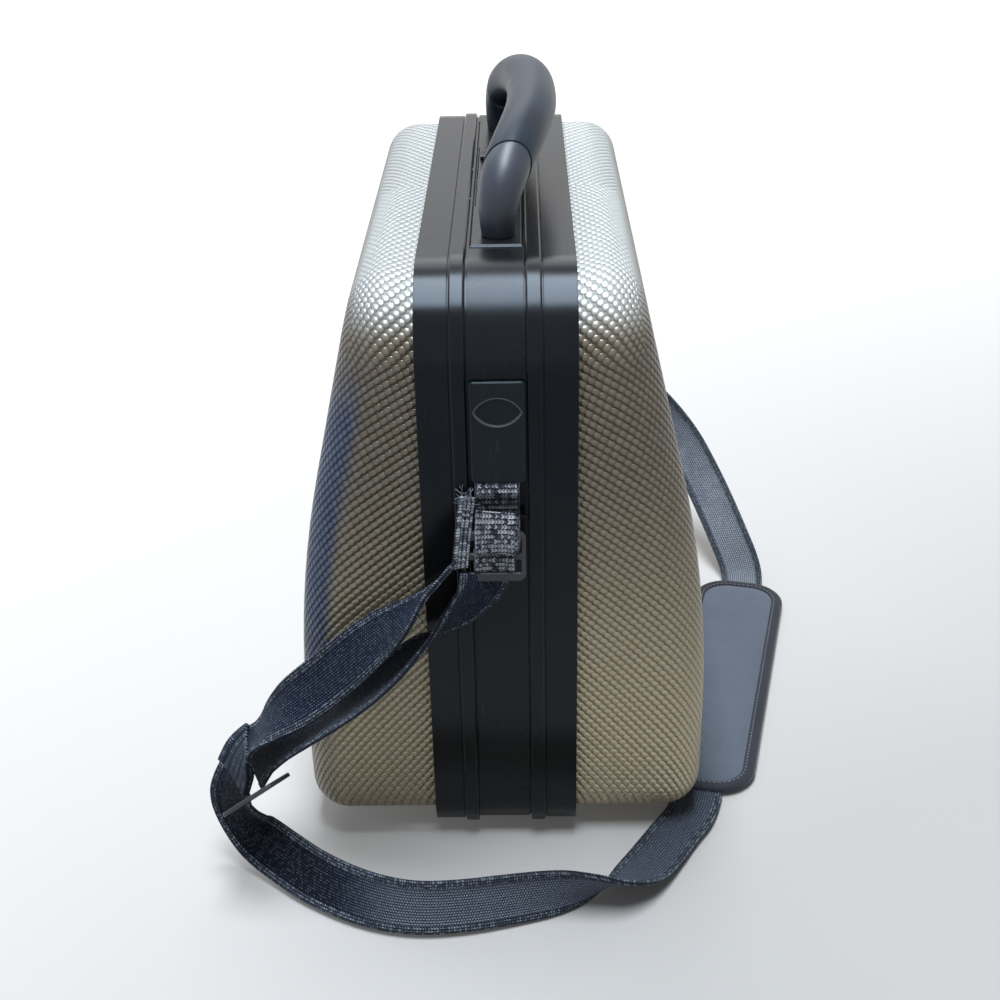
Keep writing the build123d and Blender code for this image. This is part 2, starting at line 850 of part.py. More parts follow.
def mirror_frame():
    outer_x, outer_y = mirror_length + 2 * mirror_border, mirror_height + 2 * mirror_border
    depth = mirror_thickness + mirror_frame_rise
    body = extrude(RectangleRounded(outer_x, outer_y, mirror_border), depth)
    body = chamfer(body.faces().sort_by(Axis.Z)[-1].edges(), mirror_stand)
    seat = Box(mirror_length + 2 * mirror_play, mirror_height + 2 * mirror_play, mirror_thickness + mirror_play,
               align=(Align.CENTER, Align.CENTER, Align.MIN))
    body -= Pos(0, 0, mirror_stand) * seat
    open_x, open_y = mirror_length - 2 * mirror_lap, mirror_height - 2 * mirror_lap
    window = RectangleRounded(open_x, open_y, mirror_window_corner)
    body -= Pos(0, 0, 2 * mirror_stand) * extrude(window, depth)
    return mirror_plane() * body


def wall_layer(outer_skin, inner_skin):
    return shell_form(outer_skin, half_frame) - shell_form(inner_skin, half_frame - 1)


def lid_pocket():
    skin = shell_wall + lining_thickness
    half = pocket_length / 2
    room = block((half_frame, case_width), (-half, half), (pocket_bottom, pocket_top))
    body = room & wall_layer(skin, skin + pocket_depth)
    cloth = pocket_cloth
    inside = block((0, case_width), (-half + cloth, half - cloth), (pocket_bottom + cloth, pocket_top + 1))
    return body - (inside & wall_layer(skin - 1, skin + pocket_depth - cloth))


def bottle_band():
    # Four open loops against the side wall, trimmed to the room inside the lining.
    skin = shell_wall + lining_thickness
    wall = case_width / 2 - skin
    top = band_bottom + band_height
    places = [(step - (band_loops - 1) / 2) * band_pitch for step in range(band_loops)]
    band = None
    for y in places:
        outer = rod((wall, y, band_bottom), (wall, y, top), band_loop_radius)
        inner = rod((wall, y, band_bottom - 1), (wall, y, top + 1), band_loop_radius - band_cloth)
        loop = outer - inner
        band = loop if band is None else band + loop
    reach = places[-1] + band_loop_radius + band_end
    room = block((half_frame, case_width), (-reach, reach), (band_bottom, top))
    strip = room & wall_layer(skin, skin + band_cloth)
    for y in places:
        strip -= rod((wall, y, band_bottom - 1), (wall, y, top + 1), band_loop_radius - band_cloth)
    return (band + strip) & shell_form(skin, half_frame)


def base_lining():
    cloth = lining(parting_x + lining_setback)
    low = lock_bottom - lining_thickness
    half = lock_length / 2
    cloth -= block((-far, lock_width / 2), (-half, half), (low, far))
    for screw in foot_screws():
        cloth -= screw
    return cloth


def save(name, shape):
    pieces = shape if isinstance(shape, list) else [shape]
    solids = [solid for piece in pieces for solid in piece.solids()]
    export_step(Compound(children=solids) if len(solids) > 1 else solids[0], f"parts/{name}.step")


def save_case():
    upper_strip, lower_strip = cover_strips()
    save("base_shell", shell())
    save("base_frame", base_frame())
    save("base_lining", base_lining())
    save("near_upper_strip", upper_strip)
    save("near_lower_strip", lower_strip)
    save("far_upper_strip", far_side(upper_strip))
    save("far_lower_strip", far_side(lower_strip))
    save("base_hinge_knuckles", knuckles([-knuckle_length - knuckle_gap, knuckle_length + knuckle_gap],
                                         parting_x + hinge_slot_half))
    save("hinge_pins", hinge_pins())
    save("bottle_band", bottle_band())


def save_handle():
    foot = near_foot()
    save("handle_plate", handle_plate())
    save("near_handle_foot", foot)
    save("far_handle_foot", far_side(foot))
    save("handle_pivot_pins", pivot_pins(0))
    save("handle_foot_screws", foot_screws())
    save("handle_grip", handle_grip())


def save_anchors():
    for side, place in (("near", lambda piece: piece), ("far", far_side)):
        save(f"{side}_anchor_plate", place(anchor_plate()))
        save(f"{side}_anchor_bar", place(anchor_bar()))
        save(f"{side}_webbing_loop", place(near_loop()))
        save(f"{side}_buckle", place(near_buckle()))


def save_strap():
    save("strap_upper_layer", webbing("upper layer", upper_route))
    save("strap_lower_layer", webbing("lower layer", lower_route))
    save("strap_free_end", webbing("free end", free_route, free_end_width))
    save("strap_adjuster", adjuster())
    save("strap_front", webbing("front stretch", front_route))
    save("strap_rear", webbing("rear stretch", rear_route))
    save("shoulder_pad", pad_cushion())
    save("shoulder_pad_backing", pad_back())


def save_lock():
    save("lock_housing", lock_housing())
    save("lock_slide_bar", lock_slide_bar())
    save("lock_button", lock_button())
    save("dial_axle", dial_axle_rod(0))
    for number, y in enumerate(dial_places(), 1):
        save(f"dial_{number}", dial(y))


def save_lid():
    save("lid_shell", lid_side(shell()))
    save("lid_frame", lid_frame())
    save("lid_lining", lid_side(lining(-lid_face + lining_setback)))
    save("lid_seal", seal_ring())
    save("lid_mirror", lid_side(mirror_glass()))
    save("mirror_frame", lid_side(mirror_frame()))
    save("lid_pocket", lid_side(lid_pocket()))
    save("lid_hinge_knuckles", knuckles([0], parting_x - hinge_slot_half))
    save("catch_pegs", catch_pegs())


save_case()
save_handle()
save_anchors()
save_strap()
save_lock()
save_lid()
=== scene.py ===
import bpy
import math
import random
from functools import partial
from mathutils import Euler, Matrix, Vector, noise


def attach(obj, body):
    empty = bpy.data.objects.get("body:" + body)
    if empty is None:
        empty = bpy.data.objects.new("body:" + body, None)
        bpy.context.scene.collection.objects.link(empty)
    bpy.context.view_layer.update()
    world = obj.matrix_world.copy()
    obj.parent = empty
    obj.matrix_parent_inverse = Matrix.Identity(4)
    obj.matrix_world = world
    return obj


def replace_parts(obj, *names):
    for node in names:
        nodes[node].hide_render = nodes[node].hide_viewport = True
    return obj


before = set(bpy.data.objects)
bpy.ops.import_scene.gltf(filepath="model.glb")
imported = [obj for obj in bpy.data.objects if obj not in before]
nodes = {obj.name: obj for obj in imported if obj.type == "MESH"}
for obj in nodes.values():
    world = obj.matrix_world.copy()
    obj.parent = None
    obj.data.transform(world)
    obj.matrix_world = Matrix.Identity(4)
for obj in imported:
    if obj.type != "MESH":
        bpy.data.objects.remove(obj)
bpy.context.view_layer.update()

mm = 0.001
print("packed model loaded")

# Camera fitted to the photograph
cameraSetup = {
    "place": (0.0135, -0.863, 0.598),
    "turnDegrees": (61.399, 1.104, 0.506),
    "lens": 53.65,
    "near": 0.01,
}


def addObject(name, data):
    piece = bpy.data.objects.new(name, data)
    bpy.context.scene.collection.objects.link(piece)
    return piece


def makeCamera(setup):
    data = bpy.data.cameras.new("camera")
    data.lens = setup["lens"]
    data.clip_start = setup["near"]
    camera = addObject("camera", data)
    camera.location = setup["place"]
    camera.rotation_euler = Euler([math.radians(turn) for turn in setup["turnDegrees"]])
    bpy.context.scene.camera = camera


makeCamera(cameraSetup)


# Shader building. Colours are given as red, green and blue
def wire(inputs, values):
    # values: input name or number, then a socket to join or a value to set
    for key, value in values.items():
        target = inputs[key]
        if isinstance(value, bpy.types.NodeSocket):
            target.id_data.links.new(value, target)
        else:
            target.default_value = (*value, 1) if target.type == "RGBA" else value


def addNode(tree, kind, links=None, **settings):
    node = tree.nodes.new(kind)
    for name, value in settings.items():
        setattr(node, name, value)
    wire(node.inputs, links or {})
    return node


def calc(operation, *values, clamp=False):
    # The sum lands in the node tree that its first socket belongs to
    tree = next(value.id_data for value in values if isinstance(value, bpy.types.NodeSocket))
    node = addNode(tree, "ShaderNodeMath", dict(enumerate(values)), operation=operation, use_clamp=clamp)
    return node.outputs[0]


add, less, times, over = (partial(calc, kind) for kind in ("ADD", "SUBTRACT", "MULTIPLY", "DIVIDE"))
most, least, above = (partial(calc, kind) for kind in ("MAXIMUM", "MINIMUM", "GREATER_THAN"))
unsigned, whole, part = (partial(calc, kind) for kind in ("ABSOLUTE", "FLOOR", "FRACT"))


def vectorCalc(operation, a, b):
    return addNode(a.id_data, "ShaderNodeVectorMath", {0: a, 1: b}, operation=operation).outputs["Value"]


def ramp(value, low, high, start=0.0, end=1.0, kind="SMOOTHSTEP"):
    # A soft step from start to end as the value goes from low to high
    links = {0: value, 1: low, 2: high, 3: start, 4: end}
    return addNode(value.id_data, "ShaderNodeMapRange", links, interpolation_type=kind).outputs[0]


def choose(share, a, b):
    return addNode(share.id_data, "ShaderNodeMix", {0: share, 2: a, 3: b}).outputs[0]


def mixColour(share, first, second):
    return addNode(share.id_data, "ShaderNodeMix", {0: share, 6: first, 7: second}, data_type="RGBA").outputs[2]


def split(vector):
    return addNode(vector.id_data, "ShaderNodeSeparateXYZ", {0: vector}).outputs


def objectPlace(tree):
    return addNode(tree, "ShaderNodeTexCoord").outputs["Object"]


def noiseTexture(place, scale, detail=3.0, rough=0.5):
    links = {"Vector": place, "Scale": scale, "Detail": detail, "Roughness": rough}
    return addNode(place.id_data, "ShaderNodeTexNoise", links).outputs["Fac"]


def cellNoise(across, along):
    cell = addNode(across.id_data, "ShaderNodeCombineXYZ", {0: across, 1: along}).outputs[0]
    node = addNode(cell.id_data, "ShaderNodeTexWhiteNoise", {"Vector": cell}, noise_dimensions="2D")
    return node.outputs["Value"]


def stretch(place, scale, turn=(0, 0, 0)):
    return addNode(place.id_data, "ShaderNodeMapping", {"Vector": place, "Rotation": turn, "Scale": scale}).outputs[0]


def bump(height, distance, **links):
    return addNode(height.id_data, "ShaderNodeBump", {"Height": height, "Distance": distance, **links}).outputs[0]


def newGroup(name, numbers, outputs):
    tree = bpy.data.node_groups.new(name, "ShaderNodeTree")
    for key, value in numbers.items():
        socket = tree.interface.new_socket(key, in_out="INPUT", socket_type="NodeSocketFloat")
        socket.default_value = value
    for key in outputs:
        tree.interface.new_socket(key, in_out="OUTPUT", socket_type="NodeSocketFloat")
    return tree, tree.nodes.new("NodeGroupInput").outputs, tree.nodes.new("NodeGroupOutput").inputs


def useGroup(tree, group, values):
    return addNode(tree, "ShaderNodeGroup", values, node_tree=group).outputs


def startMaterial(name, values):
    material = bpy.data.materials.new(name)
    material.use_nodes = True
    surface = material.node_tree.nodes["Principled BSDF"].inputs
    wire(surface, values)
    return material, material.node_tree, surface


# Pressed bead pattern: it wraps round the shells and carries on over the big faces
beadSizes = {
    "Bead Width": 5.06 * mm,
    "Row Pitch": 3.45 * mm,
    "Corner Radius": 39.5 * mm,     # of the shell's outline seen from the side
    "Corner Y": 139.5 * mm,
    "Corner Z": 300 * mm,
    "Bend Radius": 700 * mm,        # the side wall's bow, which turns the rows as it leans in
    "Bend Middle X": -585 * mm,
    "Bend Z": 40 * mm,
}
beadForm = {
    "leanSpan": (30 * mm, 139 * mm),    # way out from the middle over which the top's rows straighten
    "faceTurn": 0.72,       # how squarely the skin faces sideways where the big face begins
    "slant": 0.35,          # lean of the dips across a strand
    "waist": 0.64,          # a strand's width at a dip, as a share of its full width
    "dipHeight": 0.66,      # and its height there
    "gapHeight": 0.40,      # skin below this height counts as the gap between strands
}


def makeBeadGroup(form):
    tree, given, result = newGroup("beadSkin", beadSizes, ["Height", "Gap", "Bead Shade"])
    coords = addNode(tree, "ShaderNodeTexCoord").outputs
    place, facing = split(coords["Object"]), split(coords["Normal"])
    corner, cornerY, cornerZ = given["Corner Radius"], given["Corner Y"], given["Corner Z"]
    side = unsigned(place["Y"])
    fromBend = less(unsigned(place["X"]), given["Bend Middle X"])

    def square(value):
        return times(value, value)

    def diagonal(a, b):
        return calc("SQRT", add(square(a), square(b)))

    def bowed(height):
        # Distance out from the frame and height along the bowed side wall
        lifted = most(less(height, given["Bend Z"]), 0.0)
        lift = times(calc("ARCTAN2", lifted, fromBend), given["Bend Radius"])
        out = add(diagonal(fromBend, lifted), given["Bend Middle X"])
        return out, add(lift, least(height, given["Bend Z"]))

    out, rise = bowed(least(place["Z"], cornerZ))
    faceOut, faceRise = bowed(place["Z"])
    beyondSide = most(less(side, cornerY), 0.0)
    beyondTop = most(less(place["Z"], cornerZ), 0.0)
    out = add(out, less(corner, diagonal(beyondSide, beyondTop)))
    # Way round the outline from the middle of the top; the rows straighten out over the top
    turn = times(calc("ARCTAN2", beyondSide, beyondTop), corner)
    lean = ramp(side, *form["leanSpan"])
    drop = times(less(cornerZ, rise), choose(above(beyondTop, 0.0), 1.0, lean))
    along = add(add(least(side, cornerY), turn), drop)
    # The big face carries on from the near side
    faceOut = add(faceOut, add(add(cornerY, corner), place["Y"]))
    faceAlong = less(add(add(cornerY, times(corner, math.pi / 2)), cornerZ), faceRise)
    face = above(unsigned(facing["X"]), form["faceTurn"])
    u = over(choose(face, out, faceOut), given["Bead Width"])
    v = over(choose(face, along, faceAlong), given["Row Pitch"])
    # Diagonal strands of beads: deep grooves between the strands, shallow dips between the beads
    first = add(u, times(v, 0.5))
    second = less(times(v, 0.5), u)

    def offCentre(row):
        return square(less(times(part(row), 2.0), 1.0))

    # Dips slanted across each strand, as in a twisted cord
    swell = less(1.0, offCentre(add(first, times(part(second), form["slant"]))))
    bulge = add(form["waist"], times(swell, 1 - form["waist"]))
    roll = most(less(1.0, over(offCentre(second), square(bulge))), 0.0)
    height = times(calc("SQRT", roll), add(form["dipHeight"], times(swell, 1 - form["dipHeight"])))
    wire(result, {"Height": height, "Gap": ramp(height, 0.0, form["gapHeight"], 1.0, 0.0),
                  "Bead Shade": cellNoise(whole(first), whole(second))})
    return tree


# Fine scratches, blotches and grain for moulded plastic and rubber
wearSizes = {
    # two sets of scratches: how fine they are along each axis, and their turn
    "scratches": (((1500, 1500, 45), (0.12, 0.2, 0.1)), ((1300, 1300, 60), (-0.5, -0.9, 0.3))),
    "scratchEdge": 0.05, "patch": 45.0, "patchSpan": (0.5, 0.68), "grain": 2600.0,
}


def makeWearGroup(sizes):
    tree, given, result = newGroup("handledWear", {"Blotch Size": 40.0, "Scratch Reach": 0.7},
                                   ["Blotch", "Scratch", "Grain"])
    place, reach = objectPlace(tree), given["Scratch Reach"]
    lines = [ramp(noiseTexture(stretch(place, scale, turn), 1.0, 1.0), reach, add(reach, sizes["scratchEdge"]))
             for scale, turn in sizes["scratches"]]
    patch = ramp(noiseTexture(place, sizes["patch"], 2.0), *sizes["patchSpan"])
    wire(result, {"Blotch": noiseTexture(place, given["Blotch Size"], 5.0, 0.6),
                  "Scratch": times(most(*lines), patch), "Grain": noiseTexture(place, sizes["grain"], 2.0)})
    return tree


# Woven webbing: fine knit in the middle, thick braided selvedges. Reads the sheet's UV, in metres
weaveForm = {
    "threadSlant": 1.3, "braidPitch": 1.5 * mm, "braidRows": 3.0,
    "knitSoftness": 0.6, "braidSoftness": 0.7,
}


def makeWeaveGroup(form):
    numbers = {"Rib Pitch": 1.1 * mm, "Cord Pitch": 1.1 * mm, "Half Width": 15 * mm, "Edge Width": 4.6 * mm,
               "Ribbed": 0.0}
    tree, given, result = newGroup("strapWeave", numbers, ["Height", "Speckle", "Edge"])
    sheet = split(addNode(tree, "ShaderNodeUVMap", uv_map="sheet").outputs[0])
    across, along = sheet["X"], sheet["Y"]
    rib, cord = over(along, given["Rib Pitch"]), over(across, given["Cord Pitch"])
    cell = whole(add(cord, 0.5))
    shifted = add(rib, times(cell, 0.5))

    def wave(value, kind="SINE"):
        return unsigned(calc(kind, times(value, math.pi)))

    def rope(lane, run):
        # Rope-like rows of slanted threads meeting at each row's middle
        twist = add(run, times(unsigned(less(part(lane), 0.5)), form["threadSlant"]))
        height = calc("POWER", times(wave(twist), wave(lane)), form["braidSoftness"])
        return height, whole(lane), whole(twist)

    knit = calc("POWER", times(wave(shifted), wave(cord, "COSINE")), form["knitSoftness"])
    beyond = less(unsigned(across), less(given["Half Width"], given["Edge Width"]))
    edge = above(beyond, 0.0)
    lane = times(over(beyond, given["Edge Width"]), form["braidRows"])
    braid, braidLane, braidSpot = rope(lane, over(along, form["braidPitch"]))
    row, rowLane, rowSpot = rope(rib, cord)
    ribbed = given["Ribbed"]
    height = choose(edge, choose(ribbed, knit, row), braid)
    # Each thread's own cell; the selvedge's cells are numbered far from the middle's
    spotAcross = choose(edge, choose(ribbed, cell, rowSpot), add(braidLane, 100.0))
    spotAlong = choose(edge, choose(ribbed, whole(shifted), rowLane), braidSpot)
    wire(result, {"Height": height, "Speckle": times(cellNoise(spotAcross, spotAlong), height), "Edge": edge})
    return tree


# Short fibres or a fine knit on cloth that has no UV
def makeClothGroup():
    tree, given, result = newGroup("fineCloth", {"Thread Size": 1400.0, "Fold Size": 18.0}, ["Height", "Shade"])
    place = objectPlace(tree)
    wire(result, {"Height": noiseTexture(place, given["Thread Size"], 3.0, 0.7),
                  "Shade": noiseTexture(place, given["Fold Size"], 4.0, 0.6)})
    return tree


beadGroup = makeBeadGroup(beadForm)
wearGroup = makeWearGroup(wearSizes)
weaveGroup = makeWeaveGroup(weaveForm)
clothGroup = makeClothGroup()
print("shader groups built")


# Materials
shellLook = {
    # The gap colour is painted shade, in the grooves between beads and over the lid
    "base": (0.150, 0.115, 0.072), "cloud": (0.125, 0.098, 0.062), "gap": (0.020, 0.017, 0.013),
    "dustAndPaintedLight": (0.66, 0.56, 0.355), "paintedHighlightTone": (0.57, 0.61, 0.61), "paintedBlueReflection": (0.012, 0.036, 0.110),
    "metal": 0.42, "specular": 0.6, "tint": (0.7, 0.76, 0.85),
    "depth": 1.15 * mm, "grooveShadeShare": 0.36, "rough": 0.28, "cloudRough": 0.14, "gapRough": 0.3,
    # Spans: from and to, by height, place or facing, then the share at each of the two
    "cloudSpan": (0.3, 0.7, 0.0, 0.7),
    "dustAndPaintedLightSpan": (0.26, 0.04, 0.0, 0.75),
    "paintedLightSpan": (0.27, 0.85, 0.0, 0.8),
    "blueFacing": (-0.05, -0.5), "blueFlat": (-0.985, -0.9, 0.12, 1.0), "blueNear": (-0.1, -0.165, 0.0, 0.95),
    "blueTop": (0.312, 0.262), "blueFoot": (0.05, 0.13, 0.25, 1.0),
    "lidShadeSpan": (-0.025, -0.045, 0.0, 0.2),
    "beadSpan": (0.2, 1.0, 0.0, 0.05), "crestHighlightSpan": (0.6, 1.0, 0.0, 0.12),
}


def makeShellMaterial(look):
    material, tree, surface = startMaterial("shellSkin", {
        "Metallic": look["metal"], "Specular IOR Level": look["specular"], "Specular Tint": look["tint"]})
    pattern = useGroup(tree, beadGroup, beadSizes)
    coords = addNode(tree, "ShaderNodeTexCoord").outputs
    place, facing = split(coords["Object"]), split(coords["Normal"])
    cloud = noiseTexture(coords["Object"], 9.0, 4.0)
    # Painted light: skin facing up is painted paler, and a painted blue reflection lies round the lid's near corner
    # Painted reflection: a blue patch round the lid's near corner, gone over the top and weaker towards the foot
    blueReflection = ramp(facing["X"], *look["blueFacing"])
    for value, span in ((place["Y"], "blueNear"), (facing["X"], "blueFlat"), (place["Z"], "blueTop"),
                        (place["Z"], "blueFoot")):
        blueReflection = times(blueReflection, ramp(value, *look[span]))
    colour = look["base"]
    for share, coat in ((ramp(cloud, *look["cloudSpan"]), "cloud"),
                        # painted light: paler towards the bottom, as the floor's bounce light
                        (ramp(place["Z"], *look["dustAndPaintedLightSpan"]), "dustAndPaintedLight"),
                        # painted light: skin facing up is painted paler
                        (ramp(facing["Z"], *look["paintedLightSpan"]), "paintedHighlightTone"),
                        (blueReflection, "paintedBlueReflection"),
                        (ramp(place["X"], *look["lidShadeSpan"]), "gap"),    # painted shade: the lid is painted a shade darker than the base
                        (ramp(pattern["Bead Shade"], *look["beadSpan"]), "paintedHighlightTone"),
                        # painted highlight on the bead crests
                        (ramp(pattern["Height"], *look["crestHighlightSpan"]), "paintedHighlightTone"),
                        # painted shade in the grooves between beads
                        (times(pattern["Gap"], look["grooveShadeShare"]), "gap")):
        colour = mixColour(share, colour, look[coat])
    rough = add(look["rough"], times(cloud, look["cloudRough"]))
    wire(surface, {"Base Color": colour, "Roughness": add(rough, times(pattern["Gap"], look["gapRough"])),
                   "Normal": bump(pattern["Height"], look["depth"])})
    return material


# What every moulded piece shares
mouldedLook = {
    "blotchSpan": (0.35, 0.7), "dustAndPaintedLightSpan": (0.27, 0.08), "ridgeHighlightSpan": (0.75 * mm, 0.3 * mm, 0.0, 0.55),
    "edgeSpan": (0.97, 0.85), "scratchRough": 0.2, "scratchDepth": 0.8,
}


def makeMoulded(name, colour, rough, grain, wearAndHighlight, wearShare, rim, dull=1.5, specular=0.5, tint=(1, 1, 1), metal=0.0,
                roughSpread=0.15, blotch=40.0, reach=0.7, edge=0.5, dustAndPaintedLight=None, scoopHighlight=None):
    # Plastic, rubber or steel. dull: how much the blotches lighten it; grain and edge (its rounding) in mm
    shared = mouldedLook
    material, tree, surface = startMaterial(name, {"Specular IOR Level": specular, "Metallic": metal,
                                                   "Specular Tint": tint})
    marks = useGroup(tree, wearGroup, {"Blotch Size": blotch, "Scratch Reach": reach})
    place = split(objectPlace(tree))
    paint = mixColour(ramp(marks["Blotch"], *shared["blotchSpan"]), colour, [value * dull for value in colour])
    if dustAndPaintedLight:
        # Painted reflection of the floor: paler towards the bottom
        paint = mixColour(ramp(place["Z"], *shared["dustAndPaintedLightSpan"]), paint, dustAndPaintedLight)
    if scoopHighlight:
        # Painted highlight along the ridge round the lens-shaped hollow: where two circles overlap
        middle, radius, rise = scoopHighlight
        flat = addNode(tree, "ShaderNodeCombineXYZ", {0: place["X"], 2: place["Z"]}).outputs[0]
        away = [less(vectorCalc("DISTANCE", flat, (0, 0, middle - side * rise)), radius) for side in (1, -1)]
        paint = mixColour(ramp(unsigned(most(*away)), *shared["ridgeHighlightSpan"]), paint, wearAndHighlight)
    scratched = times(marks["Scratch"], wearShare)
    paint = mixColour(scratched, paint, wearAndHighlight)
    rounded = addNode(tree, "ShaderNodeBevel", {"Radius": edge * mm}, samples=4).outputs[0]
    sharp = vectorCalc("DOT_PRODUCT", rounded, addNode(tree, "ShaderNodeNewGeometry").outputs["Normal"])
    paint = mixColour(times(ramp(sharp, *shared["edgeSpan"]), rim), paint, wearAndHighlight)
    roughness = add(rough, times(marks["Blotch"], roughSpread))
    height = less(marks["Grain"], times(marks["Scratch"], shared["scratchDepth"]))
    wire(surface, {"Base Color": paint, "Normal": bump(height, grain * mm, Normal=rounded),
                   "Roughness": add(roughness, times(scratched, shared["scratchRough"]), clamp=True)})
    return material


# What all webbing shares. Spans in metres: painted light makes the stretch along the floor in front paler, and
# painted shade makes the stretch facing away the darkest
webbingLook = {
    "rough": 0.42, "sheenRough": 0.4, "sheenTint": (0.75, 0.84, 1), "specular": 0.06,
    "dustAndPaintedLight": 60.0, "dustAndPaintedLightSpan": (0.45, 0.75, 0.0, 0.3), "paintedLightSpan": (0.1, 0.9, 0.2, 1.0),
    "lyingX": (-0.095, -0.05), "lyingZ": (0.05, 0.03), "lyingEnd": (0.080, 0.045, 0.5, 1.0),
    "turnedX": (-0.075, -0.11), "turnedZ": (0.066, 0.055), "turnedShadeShare": 0.7,
}


def makeWebbing(name, dark, thread, fadedAndLit, cord, glint, knitGlint, cordGlint, sheen, depth, lyingLit=None,
                pitches=(1.5, 1.5), halfWidth=15, edgeWidth=4.6, ribbed=0.0, glintSpan=(0.35, 0.85), shade=None):
    # pitches, halfWidth, edgeWidth and depth in mm
    shared = webbingLook
    material, tree, surface = startMaterial(name, {
        "Roughness": shared["rough"], "Sheen Weight": sheen, "Sheen Roughness": shared["sheenRough"],
        "Sheen Tint": shared["sheenTint"], "Specular IOR Level": shared["specular"]})
    weave = useGroup(tree, weaveGroup, {"Rib Pitch": pitches[0] * mm, "Cord Pitch": pitches[1] * mm,
                                        "Half Width": halfWidth * mm, "Edge Width": edgeWidth * mm,
                                        "Ribbed": ribbed})
    height, place = weave["Height"], objectPlace(tree)
    spot = split(place)
    paint = mixColour(height, dark, thread)
    # Pale patches where the webbing is dusty and faded
    paint = mixColour(ramp(noiseTexture(place, shared["dustAndPaintedLight"], 4.0), *shared["dustAndPaintedLightSpan"]), paint, fadedAndLit)
    # Painted light: the stretch along the floor in front, its face up to the light, is paler
    lyingLitMask = times(ramp(spot["X"], *shared["lyingX"]), ramp(spot["Z"], *shared["lyingZ"]))
    pale = mixColour(ramp(height, *shared["paintedLightSpan"]), dark, lyingLit or fadedAndLit)
    paint = mixColour(times(lyingLitMask, ramp(spot["X"], *shared["lyingEnd"])), paint, pale)
    # Painted shade: the stretch facing away from the light is darker
    turnedShade = times(ramp(spot["X"], *shared["turnedX"]), ramp(spot["Z"], *shared["turnedZ"]))
    paint = mixColour(times(turnedShade, shared["turnedShadeShare"]), paint, dark)
    paint = mixColour(weave["Edge"], paint, mixColour(height, dark, cord))
    reach = ramp(weave["Edge"], 0.0, 1.0, knitGlint, cordGlint, "LINEAR")
    paint = mixColour(times(ramp(weave["Speckle"], *glintSpan), reach), paint, glint)
    if shade:
        # Painted shade on a darker stretch: from and to these heights, back to full colour above the last two
        low, high, share, lastLow, lastHigh = shade
        shaded = times(ramp(spot["Z"], low, high, 0.0, share), ramp(spot["Z"], lastLow, lastHigh, 1.0, 0.0))
        paint = mixColour(shaded, paint, dark)
    wire(surface, {"Base Color": paint, "Normal": bump(height, depth * mm)})
    return material


# What all other cloth shares
clothLook = {
    "sheenRough": 0.5, "specular": 0.25, "shadeSpan": (0.3, 0.7), "fleckSpan": (0.55, 0.8, 0.0, 0.35),
    "ribShare": 0.65, "ribDark": 0.72, "ribSpan": (0.0, 0.55, 0.8, 0.0),
}


def makeCloth(name, colour, spread, thread, fold=18.0, sheen=0.4, rough=0.85, depth=0.15, ribs=None):
    # Flocking, knit or a ribbed cover, depth in mm. ribs: pitch in mm, turn about Z, and the axis across them
    shared = clothLook
    material, tree, surface = startMaterial(name, {
        "Roughness": rough, "Sheen Weight": sheen, "Sheen Roughness": shared["sheenRough"],
        "Specular IOR Level": shared["specular"]})
    cloth = useGroup(tree, clothGroup, {"Thread Size": thread, "Fold Size": fold})
    light = [value * spread for value in colour]
    paint = mixColour(ramp(cloth["Shade"], *shared["shadeSpan"]), colour, light)
    height = cloth["Height"]
    if ribs:
        pitch, turn, axis = ribs
        line = split(stretch(objectPlace(tree), (1, 1, 1), (0, 0, turn)))[axis]
        wave = add(times(calc("SINE", times(line, 2 * math.pi / (pitch * mm))), 0.5), 0.5)
        height = add(times(height, 1 - shared["ribShare"]), times(wave, shared["ribShare"]))
        # Painted shade: darker in the valleys between ribs
        valley = [value * shared["ribDark"] for value in colour]
        paint = mixColour(ramp(wave, *shared["ribSpan"]), paint, valley)
    paint = mixColour(ramp(cloth["Height"], *shared["fleckSpan"]), paint, light)
    wire(surface, {"Base Color": paint, "Normal": bump(height, depth * mm)})
    return material


def makeMirror():
    material, tree, surface = startMaterial("mirrorGlass", {"Base Color": (0.86, 0.88, 0.88), "Metallic": 1.0})
    smear = noiseTexture(stretch(objectPlace(tree), (30, 8, 45), (0.4, 0, 0.2)), 1.0, 5.0, 0.65)
    wire(surface, {"Roughness": ramp(smear, 0.45, 0.8, 0.02, 0.16)})
    return material


